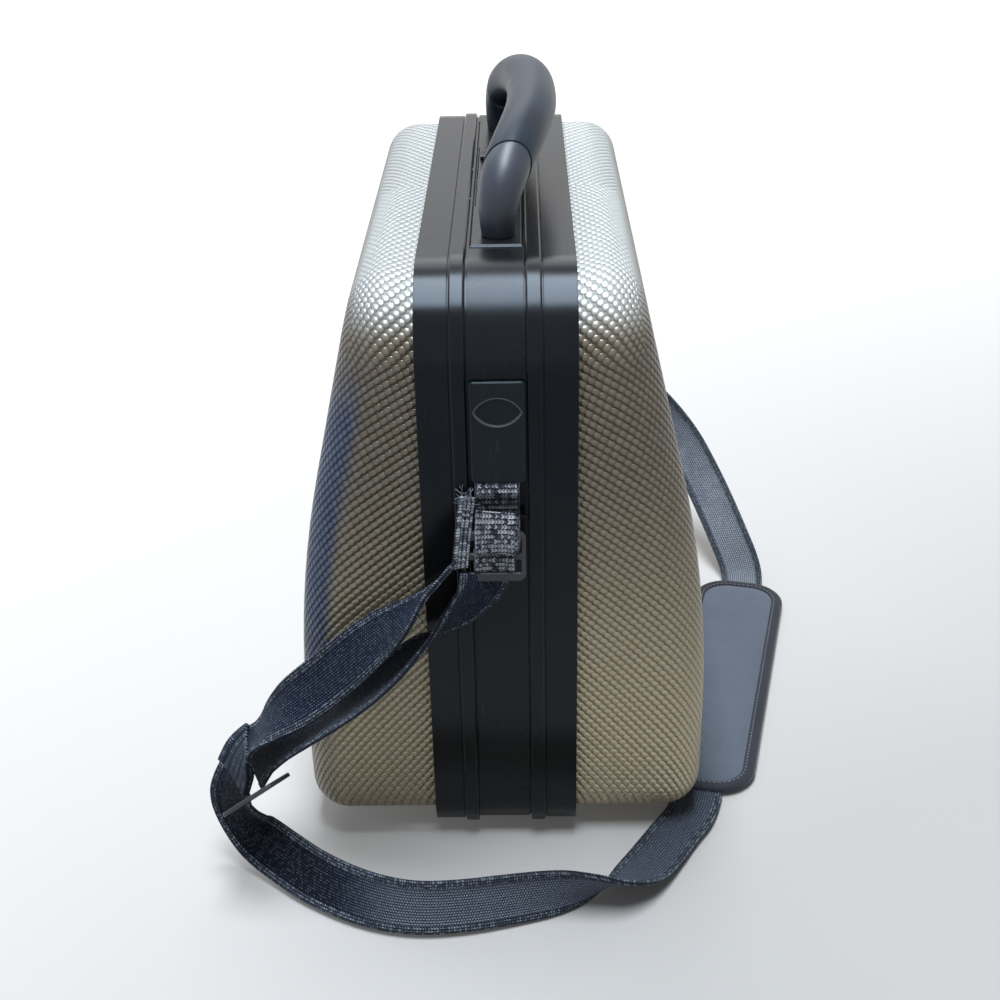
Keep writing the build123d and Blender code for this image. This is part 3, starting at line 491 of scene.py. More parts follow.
padTurn = math.radians(76.3)
# The black plastic's dust colour is also a painted reflection of the floor on its lower part
caseBlack = {"specular": 0.22, "tint": (0.74, 0.86, 1), "dustAndPaintedLight": (0.015, 0.0145, 0.0135), "grain": 0.012}
tapeLook = {
    "dark": (0.002, 0.003, 0.005), "thread": (0.085, 0.095, 0.118), "fadedAndLit": (0.06, 0.07, 0.09),
    "cord": (0.10, 0.12, 0.15), "glint": (0.60, 0.64, 0.72), "knitGlint": 0.95, "cordGlint": 0.8,
    "pitches": (2.7, 1.7), "halfWidth": 11.7, "edgeWidth": 1.5, "sheen": 0.05, "depth": 1.1, "ribbed": 1.0,
    "glintSpan": (0.0, 0.5),
}
materials = {
    "shell": makeShellMaterial(shellLook),
    "frame": makeMoulded(
        "frameBlack", (0.0022, 0.0024, 0.0032), dull=1.9, rough=0.17, roughSpread=0.12, wearAndHighlight=(0.20, 0.22, 0.25),
        wearShare=0.06, blotch=22.0, rim=0.12, **caseBlack),
    "plate": makeMoulded(
        "stripBlack", (0.0028, 0.0030, 0.0040), dull=2.0, rough=0.21, roughSpread=0.14, wearAndHighlight=(0.26, 0.28, 0.31),
        wearShare=0.08, blotch=30.0, reach=0.68, rim=0.18, **caseBlack),
    "grip": makeMoulded(
        "gripRubber", (0.012, 0.017, 0.025), specular=0.20, tint=(0.70, 0.86, 1), rough=0.33, roughSpread=0.16,
        grain=0.03, wearAndHighlight=(0.10, 0.12, 0.15), wearShare=0.25, blotch=30.0, reach=0.63, rim=0.0, edge=0.8),
    "foot": makeMoulded(
        "footPlastic", (0.020, 0.027, 0.040), dull=1.4, rough=0.33, roughSpread=0.14, grain=0.02,
        wearAndHighlight=(0.12, 0.14, 0.17), wearShare=0.25, blotch=34.0, rim=0.15),
    "anchor": makeMoulded(
        "anchorPlastic", (0.0045, 0.0078, 0.0110), dull=1.4, specular=0.24, rough=0.28, tint=(0.78, 0.90, 1),
        scoopHighlight=(278.9 * mm, 13.44 * mm, 5.74 * mm), grain=0.02, wearAndHighlight=(0.20, 0.22, 0.25), wearShare=0.2, rim=0.25,
        edge=0.4),
    "buckle": makeMoulded(
        "bucklePlastic", (0.020, 0.022, 0.029), rough=0.32, grain=0.03, wearAndHighlight=(0.16, 0.18, 0.22), wearShare=0.3,
        blotch=90.0, rim=0.4, edge=0.6),
    "steel": makeMoulded(
        "hingeSteel", (0.46, 0.46, 0.47), dull=0.8, metal=1.0, rough=0.24, roughSpread=0.25, grain=0.01,
        wearAndHighlight=(0.26, 0.25, 0.24), wearShare=0.5, blotch=120.0, rim=0.2, edge=0.3),
    "dial": makeMoulded(
        "dialIvory", (0.62, 0.58, 0.47), dull=0.85, rough=0.34, grain=0.01, wearAndHighlight=(0.34, 0.30, 0.22), wearShare=0.4,
        blotch=200.0, rim=0.25, edge=0.3),
    "seal": makeMoulded(
        "sealRubber", (0.012, 0.012, 0.013), specular=0.3, rough=0.6, grain=0.04, wearAndHighlight=(0.06, 0.06, 0.06),
        wearShare=0.2, rim=0.1, edge=0.3),
    "padRubber": makeMoulded(
        "padRubber", (0.012, 0.013, 0.016), specular=0.3, rough=0.62, grain=0.12, wearAndHighlight=(0.05, 0.05, 0.06),
        wearShare=0.3, rim=0.1),
    "webbing": makeWebbing(
        "webbingKnit", dark=(0.0015, 0.0025, 0.0050), thread=(0.032, 0.049, 0.092), fadedAndLit=(0.040, 0.050, 0.070),
        lyingLit=(0.205, 0.242, 0.315), cord=(0.095, 0.115, 0.155), glint=(0.42, 0.48, 0.58), knitGlint=0.12,
        cordGlint=0.6, glintSpan=(0.22, 0.75), sheen=0.02, depth=1.0),
    # A lit copy of the webbing for the rear strap: painted light makes it paler, with painted shade higher up
    "litRearWebbing": makeWebbing(
        "webbingRearLit", dark=(0.02, 0.026, 0.036), thread=(0.27, 0.30, 0.37), fadedAndLit=(0.34, 0.38, 0.44),
        cord=(0.08, 0.10, 0.13), glint=(0.5, 0.54, 0.6), knitGlint=0.25, cordGlint=0.3, sheen=0.3, depth=0.5,
        shade=(0.05, 0.17, 0.6, 1.0, 1.1)),
    "tape": makeWebbing("webbingRibbed", **tapeLook),
    # The tape with painted shade on the near loop's hanging face, below its top rows
    "shadedLoopTape": makeWebbing("webbingLoopShaded", shade=(0.2225, 0.2240, 0.85, 0.2322, 0.2342), **tapeLook),
    "sleeve": makeWebbing(
        "webbingSleeve", dark=(0.004, 0.006, 0.010), thread=(0.07, 0.09, 0.13), fadedAndLit=(0.07, 0.09, 0.13),
        cord=(0.068, 0.088, 0.130), glint=(0.30, 0.35, 0.44), knitGlint=0.2, cordGlint=0.4, halfWidth=15.5,
        edgeWidth=16, glintSpan=(0.3, 0.8), sheen=0.03, depth=1.4),
    "braid": makeWebbing(
        "webbingBraid", dark=(0.002, 0.003, 0.005), thread=(0.08, 0.09, 0.11), fadedAndLit=(0.05, 0.06, 0.08),
        cord=(0.11, 0.13, 0.16), glint=(0.60, 0.64, 0.72), knitGlint=0.5, cordGlint=0.9, halfWidth=4.5, edgeWidth=6.6,
        glintSpan=(0.0, 0.5), sheen=0.05, depth=0.8),
    "padCloth": makeCloth(
        "padCloth", (0.090, 0.110, 0.148), 1.25, 900.0, fold=14.0, sheen=0.35, depth=0.28, ribs=(2.0, padTurn, "Y")),
    "binding": makeCloth("padBinding", (0.011, 0.013, 0.019), 1.7, 1600.0, sheen=0.35, depth=0.2),
    "thread": makeCloth("stitchThread", (0.15, 0.17, 0.21), 1.3, 3000.0, rough=0.6),
    "lining": makeCloth("flockedLining", (0.030, 0.031, 0.038), 1.5, 1800.0, fold=9.0, sheen=0.8, depth=0.12),
    "elastic": makeCloth(
        "gatheredElastic", (0.022, 0.023, 0.030), 1.6, 1500.0, sheen=0.5, depth=0.2, ribs=(1.6, 0.0, "Z")),
    "mirror": makeMirror(),
}

finishes = {
    "shell": ["base_shell", "lid_shell"],
    "frame": ["base_frame", "lid_frame"],
    "plate": ["near_upper_strip", "near_lower_strip", "far_upper_strip", "far_lower_strip", "handle_plate",
              "lock_housing", "lock_button"],
    "grip": ["handle_grip"],
    "foot": ["near_handle_foot", "far_handle_foot"],
    "anchor": ["near_anchor_plate", "far_anchor_plate", "mirror_frame"],
    "buckle": ["near_buckle", "far_buckle", "strap_adjuster"],
    "steel": ["base_hinge_knuckles", "lid_hinge_knuckles", "hinge_pins", "handle_pivot_pins", "handle_foot_screws",
              "near_anchor_bar", "far_anchor_bar", "lock_slide_bar", "dial_axle", "catch_pegs"],
    "dial": ["dial_1", "dial_2", "dial_3"],
    "seal": ["lid_seal"],
    "lining": ["base_lining", "lid_lining"],
    "mirror": ["lid_mirror"],
}
for finish, names in finishes.items():
    for name in names:
        mesh = nodes[name].data
        if not mesh.materials:
            mesh.materials.append(None)
        for index in range(len(mesh.materials)):
            mesh.materials[index] = materials[finish]
print("materials on the packed parts")


# Mesh helpers
def makeMesh(name, points, faces, uvs=None):
    # uvs: one pair for each corner of each face, in the same order
    mesh = bpy.data.meshes.new(name)
    mesh.from_pydata([tuple(point) for point in points], [], faces)
    if uvs:
        layer = mesh.uv_layers.new(name="sheet")
        layer.data.foreach_set("uv", [value for corners in uvs for pair in corners for value in pair])
    mesh.polygons.foreach_set("use_smooth", [True] * len(mesh.polygons))
    mesh.update()
    return addObject(name, mesh)


def rowFaces(rows, count, around=True):
    # Faces between neighbouring rows of points; around joins each row's end to its start
    spots = [(spot, (spot + 1) % count) for spot in range(count if around else count - 1)]
    return [(row + here, row + there, row + count + there, row + count + here)
            for row in range(0, (rows - 1) * count, count) for here, there in spots]


def endFaces(rows, count):
    return [tuple(range(count - 1, -1, -1)), tuple(range((rows - 1) * count, rows * count))]


def finishPiece(piece, body, slotName, *looks):
    piece.data.materials.clear()
    for look in looks:
        piece.data.materials.append(materials[look])
    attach(piece, body)
    return piece


def splineLine(points, steps=10):
    # The smooth line of a quadratic NURBS spline with these control points
    curve = bpy.data.curves.new("line", "CURVE")
    curve.dimensions = "3D"
    curve.resolution_u = steps
    spline = curve.splines.new("NURBS")
    spline.points.add(len(points) - 1)
    for control, point in zip(spline.points, points):
        control.co = (*point, 1)
    spline.order_u = 3
    spline.use_endpoint_u = True
    holder = addObject("line", curve)
    mesh = bpy.data.meshes.new_from_object(holder)
    line = [vertex.co.copy() for vertex in mesh.vertices]
    bpy.data.objects.remove(holder)
    bpy.data.meshes.remove(mesh)
    return line


def runAt(line, index):
    # The line's run at one of its points, from the point before to the point after
    return line[min(index + 1, len(line) - 1)] - line[max(index - 1, 0)]


def between(here, there, share):
    return tuple(a + (b - a) * share for a, b in zip(here, there))


# Webbing: flat woven strap with thick corded edges
webbingSizes = {
    "width": 30 * mm, "narrowWidth": 9 * mm, "sleeveWidth": 31 * mm, "foldWidth": 21 * mm,
    "thickness": 1.3 * mm, "edgeThickness": 3.0 * mm,
    "edgeWidth": 4.6 * mm, "edgeShare": 0.3,    # the selvedge, and how much of a narrow piece it may take
    # half of the selvedge's outline, from the edge inwards: shares of its width and of half its thickness
    "rolls": [(0, 0), (0.06, 0.6), (0.22, 1.0), (0.42, 0.92), (0.52, 0.74), (0.64, 0.9), (0.82, 0.86), (1, 0.5)],
}


def webbingProfile(width):
    # Outline of the cut end: pairs of (across, out), with two rolls in each selvedge
    size = webbingSizes
    half, flat, fat = width / 2, size["thickness"] / 2, size["edgeThickness"] / 2
    edge = min(size["edgeWidth"], width * size["edgeShare"])
    upper = [(-half + share * edge, rise * fat) for share, rise in size["rolls"]] + [(-half / 3, flat), (0, flat)]
    upper += [(-across, out) for across, out in reversed(upper[1:-1])] + [(half, 0)]
    return upper + [(across, -out) for across, out in reversed(upper[1:-1])]


def makeRibbon(name, line, ways, width, closed=False):
    profile = webbingProfile(width)
    count, last = len(profile), len(line) - 1
    points, faces, uvs, marks = [], [], [], [0]
    for index, centre in enumerate(line):
        along = (line[(index + 1) % len(line)] - line[index - 1] if closed else runAt(line, index)).normalized()
        across = (ways[index] - along * ways[index].dot(along)).normalized()
        out = along.cross(across)
        points += [centre + across * a + out * b for a, b in profile]
        if index:
            marks.append(marks[-1] + (centre - line[index - 1]).length)
    marks.append(marks[-1] + (line[0] - line[-1]).length)
    for ring in range(len(line) if closed else last):
        after = (ring + 1) % len(line)
        for side in range(count):
            beside = (side + 1) % count
            low, high = profile[side][0], profile[beside][0]
            faces.append((ring * count + side, ring * count + beside, after * count + beside, after * count + side))
            uvs.append(((low, marks[ring]), (high, marks[ring]), (high, marks[ring + 1]), (low, marks[ring + 1])))
    if not closed:
        for ring, order in ((0, range(count - 1, -1, -1)), (last, range(count))):
            faces.append(tuple(ring * count + side for side in order))
            uvs.append(tuple((profile[side][0], marks[ring]) for side in order))
    return makeMesh(name, points, faces, uvs)


def joinPieces(name, pieces):
    # One object from several, keeping their UVs and materials
    for other in pieces[1:]:
        other.data.name = name
    with bpy.context.temp_override(active_object=pieces[0], selected_editable_objects=pieces):
        bpy.ops.object.join()
    pieces[0].name = name
    return pieces[0]


# Strap routes. Rows: a point in mm, then the direction across the webbing
routes = {
    "upper": [    # from the near buckle down to the adjuster
        (-22.7, -203, 202, 0, 0.88, -0.47), (-29.6, -204.5, 194, 0, 0.88, -0.47),
        (-36.7, -205, 185.2, 0, 0.88, -0.47), (-45.7, -204.5, 173.3, -0.03, 0.99, -0.06),
        (-69, -203.5, 154.5, -0.47, 0.7, 0.4), (-93.3, -202.5, 131, -0.58, 0.51, 0.52),
        (-112, -202.5, 115, -0.56, 0.55, 0.4), (-126, -203, 104, -0.4, 0.8, 0.05),
        (-135, -203, 94, -0.2, 0.93, -0.25), (-142, -203.5, 86.5, -0.42, 0.8, -0.42),
        (-145.5, -203.5, 79, -0.62, 0.68, -0.38), (-150, -203.5, 66.5, -0.66, 0.65, -0.36),
        (-153, -202.5, 60, -0.68, 0.63, -0.36),
    ],
    "lower": [    # under the upper one
        (-8.2, -194.5, 188.5, 0.9, 0.42, 0), (-9.9, -197, 181.1, 0.84, 0.53, -0.1),
        (-20.2, -200.5, 169.7, 0.68, 0.62, -0.4), (-32.2, -203.5, 158.7, 0.2, 0.86, -0.47),
        (-46.5, -204.5, 149.1, -0.2, 0.95, -0.22), (-61.8, -204.5, 133.4, -0.26, 0.95, -0.16),
        (-77.3, -204, 118, -0.26, 0.95, -0.16), (-96.8, -203, 102.4, -0.26, 0.95, -0.16),
        (-113, -201.5, 91.5, -0.32, 0.94, -0.1), (-126, -200, 83.5, -0.42, 0.9, 0.05),
        (-137, -198.5, 74.5, -0.52, 0.84, 0.14), (-142.5, -198, 65, -0.56, 0.81, 0.18),
    ],
    "free": [    # the strap's loose end, standing up beside the near loop
        (-20.9, -200, 196.6, 0.85, 0.52, 0.02), (-19.5, -197.2, 211, 0.85, 0.52, 0.02),
        (-17.9, -193, 223.5, 0.85, 0.52, 0.05), (-16.6, -188.5, 232.5, 0.85, 0.52, 0.05),
    ],
    "sleeve": [    # short sleeve stitched round the doubled webbing above the adjuster
        (-142.2, -204.8, 88.2, -0.42, 0.8, -0.42), (-146.9, -204.4, 80.2, -0.6, 0.69, -0.4),
        (-150.8, -204.4, 70.5, -0.65, 0.66, -0.37), (-153.2, -204, 64, -0.66, 0.65, -0.36),
    ],
    "front": [    # from the adjuster along the floor to the pad
        (-151.2, -204.8, 64, 0.68, -0.63, 0.36), (-154.5, -204, 54.5, 0.78, -0.54, 0.3),
        (-155.6, -203, 44, 0.86, -0.44, 0.22), (-152, -201.5, 31, 0.93, -0.22, 0.25),
        (-143.7, -203, 19.5, 0.9, 0.08, 0.38), (-126.6, -214.1, 13.5, 0.72, 0.34, 0.64),
        (-105.2, -232.2, 13, 0.6, 0.39, 0.72), (-77, -249.4, 14, 0.4, 0.44, 0.8),
        (-50.3, -257.8, 15.2, 0.11, 0.44, 0.89), (-22.5, -256.3, 15.4, -0.11, 0.38, 0.92),
        (5.1, -250.9, 15.3, -0.19, 0.25, 0.95), (30.6, -245.8, 15.2, -0.17, 0.05, 0.98),
        (50.4, -241.6, 14.2, -0.1, -0.45, 0.88), (65, -235.6, 11, 0.1, -0.82, 0.55),
        (77.5, -221.1, 7, 0.3, -0.94, 0.12), (88.6, -203.3, 4.6, 0.59, -0.79, -0.04),
        (99.5, -184.3, 3.6, 0.81, -0.59, -0.02), (111.9, -166.8, 3.1, 0.95, -0.28, 0),
        (116.9, -146.4, 3, 0.97, -0.24, 0),
    ],
    "rear": [    # from the far buckle down to the pad
        (-3.5, 196.5, 185.2, 1, 0, 0), (-3.5, 199.5, 176, 1, 0, 0), (6, 202.5, 167, 0.95, 0, 0.25),
        (28, 205, 159, 0.85, 0, 0.5), (62, 206, 145, 0.7, 0, 0.7), (100, 202, 118, 0.66, 0.05, 0.75),
        (133.7, 184, 84.9, 0.82, 0.2, 0.54), (150.2, 159, 59.2, 0.88, 0.15, 0.45), (159.7, 138, 43.2, 0.9, 0.06, 0.4),
        (167.8, 120, 27.5, 0.93, -0.12, 0.3), (174.4, 108, 14, 0.95, -0.2, 0.15), (176.7, 99, 4.2, 0.97, -0.24, 0.05),
        (175.1, 92.4, 3, 0.97, -0.24, 0),
    ],
    "fold": [    # end folded up in front of the near loop, its slanted top tucked behind
        (-2.2, -195, 204.6, 1, 0, 0), (-2.2, -199.2, 203.6, 1, 0, 0), (-2.4, -200.4, 209, 0.99, 0, -0.12),
        (-2.4, -199.8, 217, 0.95, 0, -0.32), (-2, -198.5, 224.5, 0.9, 0.02, -0.44),
        (-1.8, -196.2, 227.5, 0.88, 0.02, -0.48),
    ],
}


def ribbonLines(name):
    points = [[value * mm for value in row[:3]] for row in routes[name]]
    return splineLine(points), splineLine([Vector(row[3:]).normalized() for row in routes[name]])


def makeStrap():
    width = webbingSizes["width"]
    (upperLine, upperWays), (frontLine, frontWays) = ribbonLines("upper"), ribbonLines("front")
    near = joinPieces("strapNear", [makeRibbon("strapNear", upperLine, upperWays, width),
                                    makeRibbon("strapFront", frontLine, frontWays, width)])
    finishPiece(near, "base", "webbing", "webbing")
    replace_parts(near, "strap_upper_layer", "strap_front")
    lower = finishPiece(makeRibbon("strapLower", *ribbonLines("lower"), width), "base", "webbing", "webbing")
    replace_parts(lower, "strap_lower_layer")
    end = finishPiece(makeRibbon("strapEnd", *ribbonLines("free"), webbingSizes["narrowWidth"]),
                      "base", "webbing", "braid")
    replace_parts(end, "strap_free_end")
    sleeve = finishPiece(makeRibbon("strapSleeve", *ribbonLines("sleeve"), webbingSizes["sleeveWidth"]),
                         "base", "webbing", "sleeve")
    rearLine, rearWays = ribbonLines("rear")
    rear = finishPiece(makeRibbon("strapRear", rearLine, rearWays, width), "base", "webbing", "litRearWebbing")
    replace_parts(rear, "strap_rear")


makeStrap()
print("strap made")


# Webbing round two bars: the loops on the anchor bars, and the turns round the buckles' middle bars.
# Rows: middle in X, the bars' distance from the middle of the case, height and radius, and the width
loopSizes = {
    "Loop": (-1 * mm, (181 * mm, 241.5 * mm, 2.1 * mm), (193.2 * mm, 208.6 * mm, 4.8 * mm), 23.4 * mm),
    "Turn": (-3 * mm, (194.3 * mm, 200.1 * mm, 3.4 * mm), (194.9 * mm, 193.7 * mm, 1.5 * mm), 22 * mm),
    "steps": 9,
    "meshStep": 1.5 * mm,
}


def makeLoop(name, side, kind):
    # A belt round two bars, seen along X: outer tangents and two arcs
    middleX, (oneY, oneZ, oneRadius), (twoY, twoZ, twoRadius), width = loopSizes[kind]
    one, two = Vector((-oneY, oneZ)), Vector((-twoY, twoZ))
    run = two - one
    angle = math.atan2(run.y, run.x)
    lean = math.acos((oneRadius - twoRadius) / run.length)
    steps = loopSizes["steps"]
    flat = []
    for centre, radius, start, end in ((one, oneRadius, angle + lean, angle + 2 * math.pi - lean),
                                       (two, twoRadius, angle - lean, angle + lean)):
        for step in range(steps + 1):
            turn = start + (end - start) * step / steps
            flat.append((centre.x + radius * math.cos(turn), centre.y + radius * math.sin(turn)))
    # Points along the two straight runs as well, for an even mesh
    line = []
    for here, there in zip(flat, flat[1:] + flat[:1]):
        stops = max(1, round(math.dist(here, there) / loopSizes["meshStep"]))
        for stop in range(stops):
            y, z = between(here, there, stop / stops)
            line.append(Vector((middleX, y * -side, z)))
    piece = makeRibbon(name, line, [Vector((side, 0, 0))] * len(line), width, closed=True)
    return finishPiece(piece, "base", "webbing", "shadedLoopTape" if kind == "Loop" and side < 0 else "tape")


for end, side in (("near", -1), ("far", 1)):
    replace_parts(makeLoop(end + "Loop", side, "Loop"), end + "_webbing_loop")
    makeLoop(end + "Turn", side, "Turn")

fold = makeRibbon("nearFold", *ribbonLines("fold"), webbingSizes["foldWidth"])
finishPiece(fold, "base", "webbing", "tape")


def makeTube(name, line, radius, sides=8):
    points = []
    for index, centre in enumerate(line):
        along = runAt(line, index).normalized()
        across = along.cross(Vector((0, 0.2, 1))).normalized()
        out = along.cross(across)
        for side in range(sides):
            turn = 2 * math.pi * side / sides
            points.append(centre + (across * math.cos(turn) + out * math.sin(turn)) * radius)
    return makeMesh(name, points, rowFaces(len(line), sides) + endFaces(len(line), sides))


# Loose threads at the cut end of the strap
fraySizes = {
    "seed": 7, "threads": 44, "radius": 0.16 * mm, "shortest": 2.5 * mm, "longest": 6 * mm, "spread": 3.2 * mm,
    "place": (-16.8 * mm, -189.0 * mm, 231.8 * mm),
    "ways": ((-1.0, 0.5), (-0.8, 0.3), (0.1, 1)), "bend": 0.5, "curl": 0.6, "knots": (0, 0.35, 0.7, 1),
}


def makeFray():
    size = fraySizes
    draw = random.Random(size["seed"])
    threads = []
    for index in range(size["threads"]):
        start = Vector(size["place"]) + Vector([draw.uniform(-1, 1) * size["spread"] for axis in range(3)])
        way = Vector([draw.uniform(*reach) for reach in size["ways"]]).normalized()
        bend = Vector([draw.uniform(-size["bend"], size["bend"]) for axis in range(3)])
        length = draw.uniform(size["shortest"], size["longest"])
        line = [start + (way * share + bend * share * share * size["curl"]) * length for share in size["knots"]]
        threads.append(makeTube("strapFray", line, size["radius"], 5))
    fray = joinPieces("strapFray", threads)
    return finishPiece(fray, "base", "webbing", "thread")


makeFray()
print("webbing loops and turns made")

# Shoulder pad: foam under ribbed cloth, with a bound edge and a rubber underside
padSizes = {
    "length": 245 * mm, "width": 65 * mm, "corner": 25 * mm, "leastCorner": 1.2 * mm,
    "centre": (146 * mm, -27 * mm), "turn": padTurn,
    "backing": 1.6 * mm, "lift": 0.6 * mm,
    "crown": 8 * mm, "binding": 7.5 * mm, "bindingTop": 5.6 * mm,
    "slack": 0.35 * mm, "slackScale": (60, 90),     # how far the cloth over the foam wanders
    # the foam's rise: way in from the edge in mm, and share of the full rise
    "rise": ((9, 0.12), (11, 0.38), (13.5, 0.6), (16.5, 0.78), (20, 0.9), (24, 0.97), (28, 1.0), (31, 1.0)),
    "stitchSpacing": 3.2 * mm, "stitchLength": 2.0 * mm, "stitchRadius": 0.35 * mm,
}


def roundedOutline(length, width, radius, steps):
    # Points round a rectangle with round corners, evenly spaced along its sides
    x, y = length / 2 - radius, width / 2 - radius
    centres = [(x, y), (-x, y), (-x, -y), (x, -y)]

    def onArc(centre, quarters):
        turn = math.pi / 2 * quarters
        return centre[0] + radius * math.cos(turn), centre[1] + radius * math.sin(turn)

    points = []
    for index, centre in enumerate(centres):
        points += [onArc(centre, index + step / steps) for step in range(steps)]
        start, end = onArc(centre, index + 1), onArc(centres[(index + 1) % 4], index + 1)
        runs = steps * 3 if index % 2 == 0 else steps
        points += [between(start, end, step / runs) for step in range(runs)]
    return points


def padPoint(x, y, z):
    turn = padSizes["turn"]
    middleX, middleY = padSizes["centre"]
    return Vector((middleX + x * math.cos(turn) - y * math.sin(turn),
                   middleY + x * math.sin(turn) + y * math.cos(turn), z))


def padRing(inset, z, steps=14):
    radius = max(padSizes["corner"] - inset, padSizes["leastCorner"])
    outline = roundedOutline(padSizes["length"] - 2 * inset, padSizes["width"] - 2 * inset, radius, steps)
    return [(x, y, z) for x, y in outline]


def ringMesh(name, rings):
    rows, count = len(rings), len(rings[0])
    points = [padPoint(*point) for ring in rings for point in ring]
    return makeMesh(name, points, rowFaces(rows, count) + endFaces(rows, count))


def makePad():
    base, top, bound, crown = (padSizes[key] for key in ("backing", "bindingTop", "binding", "crown"))
    # The binding's section: way in from the edge, and height
    sections = [
        (2.4 * mm, base), (0.9 * mm, base + 0.4 * mm), (0.15 * mm, base + 1.5 * mm), (0.3 * mm, top - 1.2 * mm),
        (1.3 * mm, top - 0.2 * mm), (3 * mm, top + 0.1 * mm), (bound - 1.2 * mm, top + 0.15 * mm),
        (bound - 0.3 * mm, top - 0.1 * mm), (bound, top - 0.7 * mm), (bound + 0.6 * mm, top - 0.5 * mm)]
    rings = [padRing(inset, z) for inset, z in sections]
    boundFaces = len(rings[0]) * (len(rings) - 1)
    slackX, slackY = padSizes["slackScale"]
    for inset, share in padSizes["rise"]:
        ring = padRing(inset * mm, top - 0.5 * mm + (crown - top + 0.4 * mm) * share)
        rings.append([(x, y, z + padSizes["slack"] * noise.noise(Vector((x * slackX, y * slackY, 3))))
                      for x, y, z in ring])
    pad = ringMesh("shoulderPad", rings)
    finishPiece(pad, "base", "pad_cloth", "padCloth", "binding")
    for face in pad.data.polygons[:boundFaces]:
        face.material_index = 1
    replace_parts(pad, "shoulder_pad")
    lift = padSizes["lift"]
    under = ringMesh("padUnderside", [padRing(3 * mm, lift), padRing(1.7 * mm, lift + 0.3 * mm),
                                      padRing(1.5 * mm, lift + 0.7 * mm), padRing(2.2 * mm, base)])
    finishPiece(under, "base", "pad_rubber", "padRubber")
    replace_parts(under, "shoulder_pad_backing")


makePad()
print("shoulder pad made")


# Rows of stitches along a line
def makeStitchTree():
    tree = bpy.data.node_groups.new("stitchRow", "GeometryNodeTree")
    face = tree.interface
    face.new_socket("Geometry", in_out="INPUT", socket_type="NodeSocketGeometry")
    for key in ("Spacing", "Length", "Radius"):
        face.new_socket(key, in_out="INPUT", socket_type="NodeSocketFloat")
    face.new_socket("Thread", in_out="INPUT", socket_type="NodeSocketMaterial")
    face.new_socket("Geometry", in_out="OUTPUT", socket_type="NodeSocketGeometry")
    given = tree.nodes.new("NodeGroupInput").outputs
    result = tree.nodes.new("NodeGroupOutput").inputs
    curve = addNode(tree, "GeometryNodeMeshToCurve", {"Mesh": given["Geometry"]}).outputs[0]
    spots = addNode(tree, "GeometryNodeCurveToPoints", {"Curve": curve, "Length": given["Spacing"]}, mode="LENGTH")
    bead = addNode(tree, "GeometryNodeMeshUVSphere", {"Segments": 8, "Rings": 5, "Radius": 1.0})
    half = times(given["Length"], 0.5)
    size = addNode(tree, "ShaderNodeCombineXYZ", {0: given["Radius"], 1: given["Radius"], 2: half}).outputs[0]
    lyingLitMask = addNode(tree, "GeometryNodeInstanceOnPoints", {"Points": spots.outputs["Points"],
                                                          "Instance": bead.outputs["Mesh"],
                                                          "Rotation": spots.outputs["Rotation"], "Scale": size})
    solid = addNode(tree, "GeometryNodeRealizeInstances", {0: lyingLitMask.outputs[0]}).outputs[0]
    done = addNode(tree, "GeometryNodeSetMaterial", {"Geometry": solid, "Material": given["Thread"]}).outputs[0]
    wire(result, {"Geometry": done})
    return tree


stitchTree = makeStitchTree()


def makeStitches(name, ring, sizes, body, slotName):
    # ring: a closed line of points on the cloth's surface; the stitches sink half into it
    count = len(ring)
    mesh = bpy.data.meshes.new(name + "Line")
    mesh.from_pydata([tuple(point) for point in ring], [(spot, (spot + 1) % count) for spot in range(count)], [])
    holder = addObject(name + "Line", mesh)
    modifier = holder.modifiers.new("stitches", "NODES")
    modifier.node_group = stitchTree
    values = {"Spacing": sizes["stitchSpacing"], "Length": sizes["stitchLength"], "Radius": sizes["stitchRadius"],
              "Thread": materials["thread"]}
    for item in stitchTree.interface.items_tree:
        if item.in_out == "INPUT" and item.name in values:
            modifier[item.identifier] = values[item.name]
    holder.update_tag()
    depsgraph = bpy.context.evaluated_depsgraph_get()
    result = bpy.data.meshes.new_from_object(holder.evaluated_get(depsgraph))
    holder.modifiers.clear()
    bpy.data.objects.remove(holder)
    result.polygons.foreach_set("use_smooth", [True] * len(result.polygons))
    return finishPiece(addObject(name, result), body, slotName, "thread")


def makePadStitches():
    inset = padSizes["binding"] - 1.3 * mm
    ring = [padPoint(*point) for point in padRing(inset, padSizes["bindingTop"] + 0.2 * mm, 24)]
    makeStitches("padStitches", ring, padSizes, "base", "pad_cloth")


makePadStitches()
print("stitches made")

